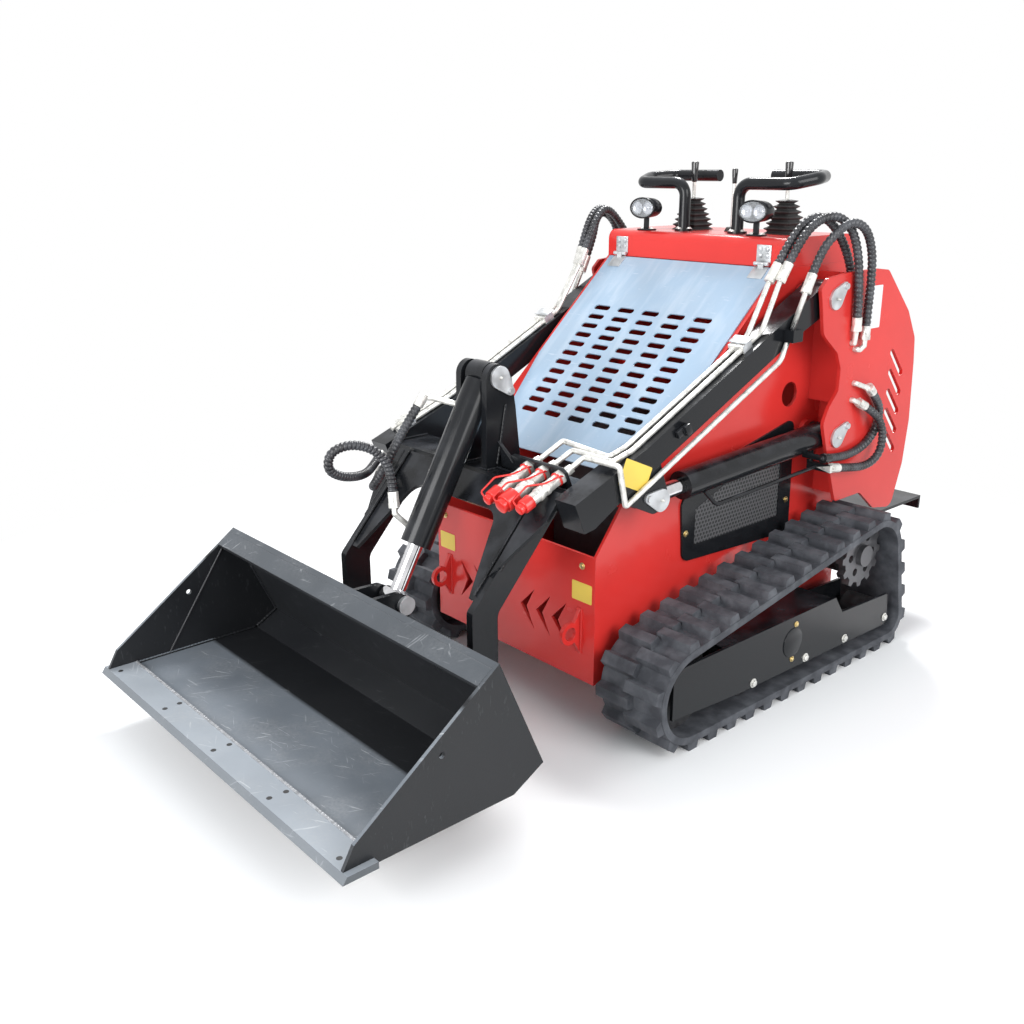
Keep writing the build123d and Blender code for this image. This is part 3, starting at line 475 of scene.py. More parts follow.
@dataclass(frozen=True)
class Rubber:
    """Moulded rubber with dust in patches."""

    name: str
    color: Color
    dust: Color = (0.20, 0.19, 0.18)
    dust_share: float = 0.5
    roughness: float = 0.75
    edge: float = 0.0025

    def build(self) -> bpy.types.Material:
        """Make the finish.

        Returns:
            The material.
        """
        nodes = NodeTree(bpy.data.materials.new(self.name))
        dusty = nodes.combine("MULTIPLY", nodes.ramp(nodes.noise(22.0, 8.0), 0.40, 0.70), self.dust_share)
        nodes.shader(
            Base_Color=nodes.mix(dusty, self.color, self.dust),
            Roughness=self.roughness,
            Normal=nodes.bump(nodes.noise(240.0, 5.0), 0.0004, self.edge),
        )
        return nodes.owner


@dataclass(frozen=True)
class Plastic:
    """Moulded plastic or film with a fine grain."""

    name: str
    color: Color
    roughness: float = 0.4
    coat: float = 0.0

    def build(self) -> bpy.types.Material:
        """Make the finish.

        Returns:
            The material.
        """
        nodes = NodeTree(bpy.data.materials.new(self.name))
        cloud = nodes.ramp(nodes.noise(12.0), 0.3, 0.7)
        nodes.shader(
            Base_Color=nodes.mix(cloud, tuple(channel * 0.88 for channel in self.color), self.color),
            Roughness=self.roughness,
            Normal=nodes.bump(nodes.noise(500.0, 2.0), 0.00004, 0.0008),
            Coat_Weight=self.coat,
        )
        return nodes.owner


@dataclass(frozen=True)
class Lens:
    """Clear moulded lamp cover."""

    name: str
    color: Color

    def build(self) -> bpy.types.Material:
        """Make the finish.

        Returns:
            The material.
        """
        nodes = NodeTree(bpy.data.materials.new(self.name))
        nodes.shader(
            Base_Color=self.color,
            Roughness=0.05,
            Transmission_Weight=0.85,
            IOR=1.45,
            Normal=nodes.bump(nodes.noise(160.0, 1.0), 0.0003, 0.0),
        )
        return nodes.owner


FINISHES = (
    Enamel("red_enamel", (0.69, 0.036, 0.031), coat=0.15, specular=0.35, dust_share=0.06),
    Enamel(
        "black_enamel", (0.010, 0.011, 0.013), dust=(0.20, 0.21, 0.24), dust_share=0.2, roughness=0.18,
        coat=0.05, specular=0.25,
    ),
    # Hood blue-grey: partly its paint, partly painted sky reflection.
    Enamel("hood_enamel_painted_sky", (0.33, 0.45, 0.585), roughness=0.2, coat=0.5, dust_share=0.12, scuffs=0.16),
    # Bucket black: real wear, plus painted shadow behind an edge and painted sheen on upward faces.
    WornEnamel("worn_black", (0.013, 0.014, 0.016), wear_and_sheen=(0.20, 0.225, 0.255)),
    # Cutting edge: lighter on upward faces, partly from real wear and partly from painted sheen.
    WornEnamel("worn_lip", (0.10, 0.11, 0.12), wear_and_sheen=(0.31, 0.34, 0.375)),
    Rubber("track_rubber", (0.040, 0.043, 0.052), dust=(0.17, 0.18, 0.20)),
    Rubber(
        "hose_guard", (0.020, 0.020, 0.023), dust=(0.16, 0.17, 0.19), dust_share=0.35, roughness=0.36,
        edge=0.0,
    ),
    Rubber("boot_rubber", (0.015, 0.015, 0.016), dust_share=0.15, roughness=0.55),
    Metal("chrome_rod", (0.80, 0.80, 0.82), roughness=0.08, grain=25.0, edge=0.0),
    Metal("zinc_plate", (0.84, 0.83, 0.79), roughness=0.36, metallic=0.55),
    Metal("galvanised", (0.66, 0.68, 0.70), roughness=0.45, metallic=0.85, grain=35.0),
    Metal("dark_casting", (0.07, 0.07, 0.075), roughness=0.55, metallic=0.6),
    Metal("worn_steel", (0.17, 0.17, 0.18), roughness=0.45, metallic=0.75, grain=30.0),
    Metal("weld_steel", (0.40, 0.41, 0.43), roughness=0.45, metallic=0.5, grain=90.0, edge=0.0),
    Metal("brass_bolt", (0.78, 0.62, 0.30), roughness=0.35),
    Plastic("cap_red", (0.72, 0.025, 0.02), roughness=0.3, coat=0.3),
    Plastic("label_yellow", (0.86, 0.62, 0.10), roughness=0.45),
    Plastic("label_white", (0.82, 0.83, 0.84), roughness=0.45),
    Plastic("black_plastic", (0.02, 0.02, 0.021), roughness=0.45),
    Plastic("mesh_grey", (0.11, 0.11, 0.115), roughness=0.35),
    Plastic("knob_plastic", (0.012, 0.012, 0.013), roughness=0.18, coat=0.6),
    Lens("lamp_lens", (0.95, 0.97, 1.0)),
)

NODE_FINISHES = {
    "red_enamel": ("main_frame", "console", "tow_eyes"),
    "black_enamel": (
        "lift_arm_left", "lift_arm_right", "arm_yoke", "tilt_bracket", "coupler_plate", "attach_plate",
        "track_frame_left", "track_frame_right", "lift_barrel_left", "lift_barrel_right", "tilt_barrel",
        "grab_handles", "stand_platform",
    ),
    "worn_lip": ("cutting_edge",),
    "track_rubber": ("track_left", "track_right"),
    "chrome_rod": ("lift_rod_left", "lift_rod_right", "tilt_rod"),
    "zinc_plate": ("hose_fittings",),
    "galvanised": ("arm_pins", "tower_pins", "attach_pins"),
    "dark_casting": ("engine_block", "track_wheels", "drive_motors"),
    "worn_steel": ("sprockets",),
}


class Palette:
    """All finishes of the machine, each made once."""

    def __init__(self) -> None:
        """Make every material."""
        self.materials = {finish.name: finish.build() for finish in FINISHES}

    def dress(self, obj: Object, name: str) -> None:
        """Give an object one finish in all its slots."""
        obj.data.materials.clear()
        obj.data.materials.append(self.materials[name])

    def dress_where(self, obj: Object, name: str, chosen: Callable[[Vector, Vector], bool]) -> None:
        """Give the faces of an object that a test picks a further finish.

        Args:
            obj: Dressed object.
            name: Name of the finish.
            chosen: Test of a face's middle, in drawing millimetres, and its normal.
        """
        obj.data.materials.append(self.materials[name])
        for face in obj.data.polygons:
            middle = face.center / MM - Vector((0.0, ORIGIN_SHIFT_Y, 0.0))
            if chosen(middle, face.normal):
                face.material_index = len(obj.data.materials) - 1


@dataclass(frozen=True)
class Hose:
    """A hose with its spiral guard, from its first fitting to its last."""

    node: str
    bodies: tuple[str, str]
    points: list[Point]
    bend_from: Point
    bend_to: Point
    length: float
    pitch: float = 0.0125
    around: int = 14
    rings_per_turn: int = 9
    groove: float = 0.0028
    swell: float = 0.0004
    ridge_power: float = 0.8
    path_step: int = 6

    def on_side(self, side: Side) -> "Hose":
        """The same hose on one side of the machine.

        Args:
            side: Side of the machine.

        Returns:
            The hose.
        """
        return replace(
            self, node=self.node.format(side.word),
            bodies=tuple(body.format(side.word) for body in self.bodies),
            points=[side.of(point) for point in self.points],
            bend_from=side.of(self.bend_from), bend_to=side.of(self.bend_to),
        )

    def centreline(self) -> list[Vector]:
        """Follow the route with a smooth curve.

        Returns:
            Points along the curve.
        """
        holder = curve_along(self.node + "_route", [place(*point) for point in self.points], resolution_u=48)
        line = bpy.data.meshes.new_from_object(holder)
        route = [vertex.co.copy() for vertex in line.vertices]
        bpy.data.objects.remove(holder)
        bpy.data.meshes.remove(line)
        return route

    def stations(self, route: list[Vector]) -> list[tuple[Vector, float]]:
        """Places along the route at even steps, with their distance from the start.

        Args:
            route: Points of the centre line.

        Returns:
            Pairs of point and distance.
        """
        lengths = [0.0]
        for before, after in zip(route, route[1:]):
            lengths.append(lengths[-1] + (after - before).length)
        count = max(2, round(lengths[-1] / (self.pitch / self.rings_per_turn)))
        found, index = [], 0
        for step in range(count + 1):
            distance = lengths[-1] * step / count
            while index < len(lengths) - 2 and lengths[index + 1] < distance:
                index += 1
            span = lengths[index + 1] - lengths[index]
            share = (distance - lengths[index]) / span if span else 0.0
            found.append((route[index].lerp(route[index + 1], min(share, 1.0)), distance))
        return found

    def tube(self, stations: list[tuple[Vector, float]]) -> bpy.types.Mesh:
        """Ribbed tube with closed ends around the stations.

        Args:
            stations: Pairs of point and distance along the route.

        Returns:
            The mesh.
        """
        vertices, faces = [], []
        side = Vector((0.0, 0.0, 1.0)).cross(stations[1][0] - stations[0][0])
        for index, (point, distance) in enumerate(stations):
            ahead = stations[min(index + 1, len(stations) - 1)][0]
            heading = (ahead - stations[max(index - 1, 0)][0]).normalized()
            side = (side - heading * side.dot(heading)).normalized()
            up = heading.cross(side)
            for step in range(self.around):
                share = step / self.around
                ridge = math.sin(math.pi * ((distance / self.pitch + share) % 1.0)) ** self.ridge_power
                radius = HOSE_DIAMETER / 2 + self.swell - self.groove * (1.0 - ridge)
                angle = 2 * math.pi * share
                vertices.append(point + (side * math.cos(angle) + up * math.sin(angle)) * radius)
        last = (len(stations) - 1) * self.around
        for low in range(0, last, self.around):
            for step in range(self.around):
                following, high = (step + 1) % self.around, low + self.around
                faces.append((low + step, low + following, high + following, high + step))
        faces.append(tuple(reversed(range(self.around))))
        faces.append(tuple(range(last, last + self.around)))
        mesh = bpy.data.meshes.new(self.node + "_guard")
        mesh.from_pydata([tuple(vertex) for vertex in vertices], [], faces)
        mesh.validate()
        for polygon in mesh.polygons[:-2]:
            polygon.use_smooth = True
        return mesh

    def build(self, palette: Palette) -> None:
        """Args:
            palette: Finishes of the machine.
        """
        route = self.centreline()
        piece = link_new(self.node + "_guard", self.tube(self.stations(route)))
        palette.dress(piece, "hose_guard")
        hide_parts(self.node)
        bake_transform(piece)


SIDE_HOSES = (
    Hose("arm_hose_{}_a", ("chassis", "lift_arms"), [
        (334, 582, 1078), (340, 614, 1128), (349, 648, 1168), (360, 684, 1188), (370, 724, 1181),
        (375, 766, 1150), (376, 812, 1100), (376, 843, 1046), (375, 853, 996), (375, 855, 945),
    ], (380, 850, 1000), (350, 640, 1090), 0.475),
    Hose("arm_hose_{}_b", ("chassis", "lift_arms"), [
        (358, 592, 1081), (366, 618, 1130), (376, 650, 1168), (388, 686, 1187), (399, 730, 1188),
        (409, 776, 1158), (413, 808, 1096), (414, 824, 1015), (414, 829, 934),
    ], (380, 850, 1000), (350, 640, 1090), 0.480),
    Hose("arm_hose_{}_c", ("chassis", "lift_arms"), [
        (390, 647, 1053), (391, 674, 1106), (412, 704, 1152), (426, 744, 1177), (436, 796, 1160),
        (434, 838, 1100), (424, 862, 1018), (415, 875, 956), (415, 874, 908),
    ], (380, 850, 1000), (350, 640, 1090), 0.487),
    Hose("lift_hose_{}_a", ("chassis", "lift_barrel_{}"), [
        (420, 930, 724), (417, 972, 691), (413, 991, 657), (412, 987, 627), (412, 967, 601),
        (412, 931, 578), (412, 880, 566), (414, 816, 564), (417, 748, 574),
    ], (420, 925, 560), (420, 790, 560), 0.381),
    Hose("lift_hose_{}_b", ("chassis", "lift_barrel_{}"), [
        (420, 900, 690), (429, 934, 670), (436, 962, 639), (437, 979, 598), (436, 973, 557),
        (433, 944, 532), (431, 893, 526), (429, 838, 534), (427, 782, 543),
    ], (420, 925, 560), (420, 790, 560), 0.366),
)

TILT_HOSES = (
    Hose("tilt_hose_a", ("lift_arms", "tilt_barrel"), [
        (-76, -298, 584), (-84, -295, 622), (-95, -304, 660), (-110, -332, 690), (-124, -380, 704),
        (-138, -424, 690), (-148, -428, 648), (-158, -392, 622), (-176, -340, 606),
        (-208, -284, 597), (-248, -236, 600), (-280, -198, 608),
    ], (-240, -240, 600), (-90, -310, 620), 0.536, pitch=0.0100),
    Hose("tilt_hose_b", ("lift_arms", "tilt_barrel"), [
        (-96, -204, 772), (-108, -240, 716), (-122, -268, 660), (-142, -286, 608), (-176, -288, 572),
        (-214, -258, 560), (-252, -216, 574),
    ], (-220, -250, 570), (-110, -240, 720), 0.344, pitch=0.0100),
)


@dataclass(frozen=True)
class StudioLamp:
    """Soft square lamp: its place and side in metres and its power in watts."""

    name: str
    at: Point
    size: float
    power: float


@dataclass(frozen=True)
class Studio:
    """Floor, world, lamps and the camera."""

    camera_at: Point = (1900.2, -1651.6, 1310.0)
    turn: float = 48.9
    tilt: float = -18.1
    roll: float = -0.3
    focal_pixels: float = 1060.2
    view_limit: float = 100.0
    floor_side: float = 60.0
    white_reach: Pair = (1.15, 2.3)
    world_color: Color = (0.90, 0.95, 1.0)
    world_strength: float = 0.62
    lit_point: Point = (0.0, 0.0, 0.5)
    lamps: tuple[StudioLamp, ...] = (
        StudioLamp("key", (-2.2, 2.6, 5.0), 1.4, 315.0),
        StudioLamp("side", (4.8, 0.2, 2.6), 3.2, 170.0),
        StudioLamp("front", (0.5, -4.8, 1.8), 3.0, 240.0),
    )

    def camera(self) -> None:
        """Put the camera where the photograph was taken."""
        data = bpy.data.cameras.new("camera")
        data.sensor_width = SENSOR_WIDTH
        data.lens = self.focal_pixels * SENSOR_WIDTH / IMAGE_SIDE
        data.clip_end = self.view_limit
        camera = link_new("camera", data)
        turn = Matrix.Rotation(math.radians(self.turn), 4, "Z")
        tilt = Matrix.Rotation(math.radians(90.0 + self.tilt), 4, "X")
        roll = Matrix.Rotation(math.radians(self.roll), 4, "Z")
        camera.matrix_world = Matrix.Translation(place(*self.camera_at)) @ turn @ tilt @ roll
        bpy.context.scene.camera = camera

    def floor(self) -> None:
        """Large pale floor that keeps the machine's shadow and goes over into white away from it."""
        bpy.ops.mesh.primitive_plane_add(size=self.floor_side, location=(0.0, 0.0, 0.0))
        floor = bpy.context.active_object
        floor.name = "floor"
        nodes = NodeTree(bpy.data.materials.new("floor_paint"))
        path = nodes.add("ShaderNodeLightPath").outputs
        seen = nodes.combine(
            "MAXIMUM", path["Is Camera Ray"], path["Is Glossy Ray"], path["Is Transmission Ray"]
        )
        reach = nodes.add("ShaderNodeVectorMath", operation="LENGTH")
        nodes.link(nodes.coords.outputs["Object"], reach.inputs[0])
        away = nodes.combine("MULTIPLY", nodes.ramp(reach.outputs["Value"], *self.white_reach), seen)
        color = nodes.mix(seen, (0.62, 0.62, 0.62), (0.96, 0.96, 0.96))
        paint = nodes.shader(Base_Color=color, Roughness=0.9, Specular_IOR_Level=0.1)
        nodes.blend(away, paint, nodes.shader("ShaderNodeEmission", Color=WHITE))
        floor.data.materials.append(nodes.owner)

    def world(self) -> None:
        """Even white surroundings, brighter for the camera and for reflections."""
        world = bpy.data.worlds.new("studio")
        bpy.context.scene.world = world
        nodes = NodeTree(world, "ShaderNodeOutputWorld")
        path = nodes.add("ShaderNodeLightPath").outputs
        seen = nodes.combine("MAXIMUM", path["Is Camera Ray"], path["Is Glossy Ray"])
        dim = nodes.shader("ShaderNodeBackground", Color=self.world_color, Strength=self.world_strength)
        nodes.blend(seen, dim, nodes.shader("ShaderNodeBackground", Color=WHITE, Strength=1.0))

    def build(self) -> None:
        """Make the stage around the machine."""
        self.camera()
        self.floor()
        self.world()
        for lamp in self.lamps:
            data = bpy.data.lights.new(lamp.name, "AREA")
            data.size = lamp.size
            data.energy = lamp.power
            made = link_new(lamp.name, data)
            made.location = lamp.at
            heading = Vector(self.lit_point) - Vector(lamp.at)
            made.rotation_euler = heading.to_track_quat("-Z", "Y").to_euler()
        bpy.context.scene.view_settings.view_transform = "Standard"


class Bench:
    """Modelling tools that every hand-made piece shares; points and sizes are drawing millimetres."""

    def leave(self) -> None:
        """Go back to object mode."""
        bpy.ops.object.mode_set(mode="OBJECT")

    def clear(self) -> None:
        """Leave edit mode and deselect everything."""
        if bpy.context.mode != "OBJECT":
            self.leave()
        bpy.ops.object.select_all(action="DESELECT")

    def only(self, obj: Object) -> None:
        """Select one object and make it active.

        Args:
            obj: Object to select.
        """
        self.clear()
        obj.select_set(True)
        bpy.context.view_layer.objects.active = obj

    def edit(self, obj: Object, mode: str = "FACE", whole: bool = False) -> None:
        """Open an object for editing.

        Args:
            obj: Object to edit.
            mode: Kind of element to select.
            whole: Whether all of it starts out selected.
        """
        self.only(obj)
        bpy.ops.object.mode_set(mode="EDIT")
        bpy.ops.mesh.select_mode(type=mode)
        bpy.ops.mesh.select_all(action="SELECT" if whole else "DESELECT")

    def pick_faces(self, obj: Object, chosen: Callable[[bpy.types.MeshPolygon], bool]) -> None:
        """Select the faces that a test picks, in edit mode.

        Args:
            obj: Object that is being edited.
            chosen: Test of a face.
        """
        bpy.ops.mesh.select_all(action="DESELECT")
        self.leave()
        for face in obj.data.polygons:
            face.select = chosen(face)
        bpy.ops.object.mode_set(mode="EDIT")

    def merge(self, obj: Object, distance: float = MERGE_DISTANCE) -> None:
        """Merge the doubles in an object's mesh.

        Args:
            obj: Object to change.
            distance: Greatest distance of two doubles in metres.
        """
        self.edit(obj, "VERT", whole=True)
        bpy.ops.mesh.remove_doubles(threshold=distance)
        self.leave()

    def face_out(self, obj: Object) -> None:
        """Turn all normals of an object outward.

        Args:
            obj: Object to change.
        """
        self.edit(obj, "VERT", whole=True)
        bpy.ops.mesh.normals_make_consistent(inside=False)
        self.leave()

    def trim(self, obj: Object, point: Point, outward: Point, fill: bool = False) -> None:
        """Cut an object by a plane and drop what lies beyond it.

        Args:
            obj: Object to cut.
            point: Point on the plane.
            outward: Direction in which the material goes.
            fill: Whether the cut is closed.
        """
        self.edit(obj, whole=True)
        bpy.ops.mesh.bisect(plane_co=place(*point), plane_no=outward, clear_outer=True, use_fill=fill)
        self.leave()

    def settle(self, obj: Object, name: str) -> Object:
        """Put an object's place into its mesh and name it.

        Args:
            obj: Object to settle.
            name: Its name from now on.

        Returns:
            The object.
        """
        self.only(obj)
        bpy.ops.object.transform_apply(location=True, rotation=True, scale=True)
        obj.name = name
        obj.data.name = name
        return obj

    def apply(self, obj: Object, kind: str, **settings: object) -> None:
        """Add a modifier and apply it.

        Args:
            obj: Object to change.
            kind: Type of the modifier.
            **settings: Its properties.
        """
        self.only(obj)
        modifier = obj.modifiers.new(kind.lower(), kind)
        for key, value in settings.items():
            setattr(modifier, key, value)
        bpy.ops.object.modifier_apply(modifier=modifier.name)

    def smooth(self, obj: Object, angle: float) -> None:
        """Shade an object smooth up to an angle in degrees."""
        self.only(obj)
        bpy.ops.object.shade_smooth_by_angle(angle=math.radians(angle))

    def soften(self, obj: Object, width: float, segments: int = 2) -> Object:
        """Round the sharp edges of an object and shade it smooth between them.

        Args:
            obj: Object to change.
            width: Width of the rounding.
            segments: Steps across it.

        Returns:
            The object.
        """
        self.only(obj)
        bpy.ops.object.transform_apply(location=False, rotation=False, scale=True)
        self.apply(obj, "BEVEL", width=width * MM, segments=segments, limit_method="ANGLE")
        self.smooth(obj, 40.0)
        return obj

    def bar(
        self, start: Point, end: Point, radius: float, corners: int = 24, far_radius: float | None = None
    ) -> Object:
        """Round or many-cornered bar between two points, if asked with another radius at its end.

        Args:
            start: First point.
            end: Second point.
            radius: Radius at the start.
            corners: Number of sides.
            far_radius: Radius at the end.

        Returns:
            The bar.
        """
        self.clear()
        first, last = place(*start), place(*end)
        run = last - first
        end_radius = radius if far_radius is None else far_radius
        bpy.ops.mesh.primitive_cone_add(
            vertices=corners, radius1=radius * MM, radius2=end_radius * MM, depth=run.length,
            location=(first + last) / 2, rotation=run.to_track_quat("Z", "Y").to_euler(),
        )
        return bpy.context.active_object

    def slab(self, middle: Point, size: Point, turn: Point = (0.0, 0.0, 0.0)) -> Object:
        """Box around a point.

        Args:
            middle: Middle of the box.
            size: Its sides.
            turn: Angles about x, y and z in degrees.

        Returns:
            The box.
        """
        self.clear()
        bpy.ops.mesh.primitive_cube_add(
            size=1.0, location=place(*middle), rotation=[math.radians(angle) for angle in turn]
        )
        block = bpy.context.active_object
        block.scale = [side * MM for side in size]
        bpy.ops.object.transform_apply(location=False, rotation=False, scale=True)
        return block

    def ball(self, middle: Point, radius: float, around: int) -> Object:
        """Ball around a point.

        Args:
            middle: Middle of the ball.
            radius: Its radius.
            around: Faces around it.

        Returns:
            The ball.
        """
        self.clear()
        bpy.ops.mesh.primitive_uv_sphere_add(
            segments=around, ring_count=around // 2, radius=radius * MM, location=place(*middle)
        )
        bpy.ops.object.shade_smooth()
        return bpy.context.active_object

    def join(self, parts: list[Object], name: str) -> Object:
        """Make one object of several, settled and named.

        Args:
            parts: Objects to join.
            name: Name of the result.

        Returns:
            The joined object.
        """
        for part in parts:
            self.only(part)
            bpy.ops.object.transform_apply(location=True, rotation=True, scale=True)
        self.clear()
        for part in parts:
            part.select_set(True)
        bpy.context.view_layer.objects.active = parts[0]
        if len(parts) > 1:
            bpy.ops.object.join()
        return self.settle(parts[0], name)

    def solid_of(self, curve: Object) -> Object:
        """Turn a curve with a thickness into a mesh.

        Args:
            curve: Curve object.

        Returns:
            The mesh object.
        """
        self.only(curve)
        bpy.ops.object.convert(target="MESH")
        return bpy.context.active_object

    def rod(self, corners: list[Point], bend: float, radius: float, name: str) -> Object:
        """Stiff round rod or tube along straight runs with bends between them.

        Args:
            corners: Ends and corners of the run.
            bend: Distance from a corner at which a bend begins.
            radius: Radius of the rod.
            name: Name of the object.

        Returns:
            The rod.
        """
        self.clear()
        points = [place(*corner) for corner in corners]
        route = [points[0]]
        for before, corner, after in zip(points, points[1:], points[2:]):
            route += [
                corner + (before - corner).normalized() * bend * MM, corner,
                corner + (after - corner).normalized() * bend * MM,
            ]
        route.append(points[-1])
        curve = curve_along(
            name, route, resolution_u=5, bevel_depth=radius * MM, bevel_resolution=3, use_fill_caps=True
        )
        made = self.solid_of(curve)
        self.merge(made)
        self.face_out(made)
        self.smooth(made, 50.0)
        return self.settle(made, name)

    def copy_of(self, node: str, name: str) -> Object:
        """Copy of a CAD node's mesh with its doubles merged, to be worked on.

        Args:
            node: Name of the CAD node.
            name: Name of the copy.

        Returns:
            The copy.
        """
        made = link_new(name, frame["nodes"][node].data.copy())
        self.merge(made)
        bpy.ops.mesh.customdata_custom_splitnormals_clear()
        return made

    def cut(self, obj: Object, tool: Object) -> None:
        """Take one solid away from another and drop it.

        Args:
            obj: Object to cut.
            tool: Solid that is taken away.
        """
        self.settle(tool, tool.name)
        self.apply(obj, "BOOLEAN", operation="DIFFERENCE", object=tool, solver="EXACT")
        bpy.data.objects.remove(tool)


@dataclass
class Trade:
    """A group of pieces that one class makes."""

    bench: Bench
    palette: Palette

    def build(self) -> None:
        """Make the pieces."""
        raise NotImplementedError

    def hold(self, piece: Object, body: str, slot: str, *nodes: str) -> None:
        """Let a finished piece ride on a body and stand for CAD nodes.

        Args:
            piece: Finished piece.
            body: Name of the body.
            slot: Material slot of the record; not used.
            *nodes: CAD nodes that it stands for.
        """
        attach(piece, body)
        if nodes:
            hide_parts(*nodes)

    def hand_over(self, piece: Object, finish: str, body: str, slot: str, *nodes: str) -> None:
        """Dress a piece and let it ride, as hold does.

        Args:
            piece: Finished piece.
            finish: Name of its finish.
            body: Name of the body.
            slot: Material slot of the record.
            *nodes: CAD nodes that it stands for.
        """
        self.palette.dress(piece, finish)
        self.hold(piece, body, slot, *nodes)


@dataclass
class Towers(Trade):
    """Outer plates with their slanted slots."""

    slot_count: int = 5
    slot_size: Point = (160.0, 104.0, 19.0)
    slot_middle: Point = (395.0, 1076.0, 785.0)
    slot_pitch: float = 55.0
    slot_slant: float = -48.0
    slot_rounding: float = 9.2

    def build(self) -> None:
        """Cut the slots into copies of both plates."""
        bench = self.bench
        x, y, top = self.slot_middle
        for side in Side:
            made = bench.copy_of(f"tower_{side.word}", f"tower_{side.word}_plate")
            for step in range(self.slot_count):
                middle = side.of((x, y, top - step * self.slot_pitch))
                tool = bench.slab(middle, self.slot_size, (self.slot_slant, 0, 0))
                bench.apply(tool, "BEVEL", width=self.slot_rounding * MM, segments=6, limit_method="ANGLE")
                bench.cut(made, tool)
            bench.smooth(made, 30.0)
            self.hand_over(made, "red_enamel", "chassis", "red_paint", f"tower_{side.word}")


@dataclass
class VentPanels(Trade):
    """Panels on the side walls: a cut-out frame with six-sided mesh behind it."""

    pitch: float = 12.0
    bar: float = 4.0
    window: tuple[float, float, float, float] = (340.0, 706.0, 398.0, 612.0)
    sheet_x: float = 303.0
    sheet_thickness: float = 1.2
    backing_x: float = 301.2
    backing_thickness: float = 1.6
    merge_distance: float = 0.00005

    def cells(self, rise: float) -> list[Object]:
        """Two six-cornered plates, one a row above the other.

        Args:
            rise: Distance between two rows.

        Returns:
            The plates.
        """
        made = []
        for across, up in ((0.0, 0.0), (self.pitch / 2, rise)):
            self.bench.clear()
            bpy.ops.mesh.primitive_circle_add(
                vertices=6, radius=self.pitch / math.sqrt(3) * MM, fill_type="NGON",
                location=(across * MM, up * MM, 0.0),
            )
            cell = bpy.context.active_object
            if max(vertex.co.x for vertex in cell.data.vertices) > self.pitch * 0.55 * MM:
                cell.rotation_euler[2] = math.radians(30.0)
            made.append(cell)
        return made

    def mesh(self, side: Side) -> Object:
        """Sheet of six-sided holes, trimmed to the slanted window.

        Args:
            side: Side of the machine.

        Returns:
            The sheet.
        """
        bench, (low_y, high_y, low_z, high_z) = self.bench, self.window
        rise = self.pitch * math.sin(math.pi / 3)
        sheet = bench.join(self.cells(rise), f"vent_mesh_{side.word}")
        bench.edit(sheet, whole=True)
        bpy.ops.mesh.inset(thickness=self.bar / 2 * MM, use_individual=True)
        bpy.ops.mesh.delete(type="FACE")
        bench.leave()
        across, up = (self.pitch * MM, 0.0, 0.0), (0.0, 2 * rise * MM, 0.0)
        for reach, step, offset in (
            (high_y - low_y, self.pitch, across), (high_z - low_z, 2 * rise, up),
        ):
            bench.apply(
                sheet, "ARRAY", count=math.ceil(reach / step) + 1, use_relative_offset=False,
                use_constant_offset=True, constant_offset_displace=offset,
            )
        sheet.matrix_world = Matrix.Translation(place(side.value * self.sheet_x, low_y, low_z)) @ Matrix(
            ((0, 0, 1, 0), (1, 0, 0, 0), (0, 1, 0, 0), (0, 0, 0, 1))
        )
        bench.settle(sheet, sheet.name)
        for point, outward in (
            ((0, low_y, 0), (0, -1, 0)), ((0, high_y, 0), (0, 1, 0)), ((0, 345, 398), (0, -0.065, -1)),
            ((0, 352, 500), (0, -0.38, 1)), ((0, 525, 566), (0, -0.2, 1)),
        ):
            bench.trim(sheet, point, outward)
        bench.merge(sheet, self.merge_distance)
        bench.apply(sheet, "SOLIDIFY", thickness=self.sheet_thickness * MM)
        return sheet

    def window_block(self, x: float, thickness: float, name: str) -> Object:
        """Block with the window's outline.

        Args:
            x: Middle of the block.
            thickness: Its thickness.
            name: Name of the object.

        Returns:
            The block.
        """
        block = self.bench.settle(self.bench.slab((x, 523, 505), (thickness, 352, 214)), name)
        for point, outward in (((0, 352, 494), (0, -0.38, 1)), ((0, 525, 560), (0, -0.2, 1))):
            self.bench.trim(block, point, outward, fill=True)
        return block

    def build(self) -> None:
        """Cut the window out of a copy of both panels and set the mesh behind it."""
        panels = self.bench.copy_of("vent_panels", "vent_frames")
        for side in Side:
            backing = self.window_block(
                side.value * self.backing_x, self.backing_thickness, "vent_backing_" + side.word
            )
            self.hand_over(backing, "black_plastic", "chassis", "black_paint")
            self.bench.cut(panels, self.window_block(side.value * self.sheet_x, 40, "window_tool"))
            self.hand_over(self.mesh(side), "mesh_grey", "chassis", "black_paint")
        self.hand_over(panels, "black_enamel", "chassis", "black_paint", "vent_panels")


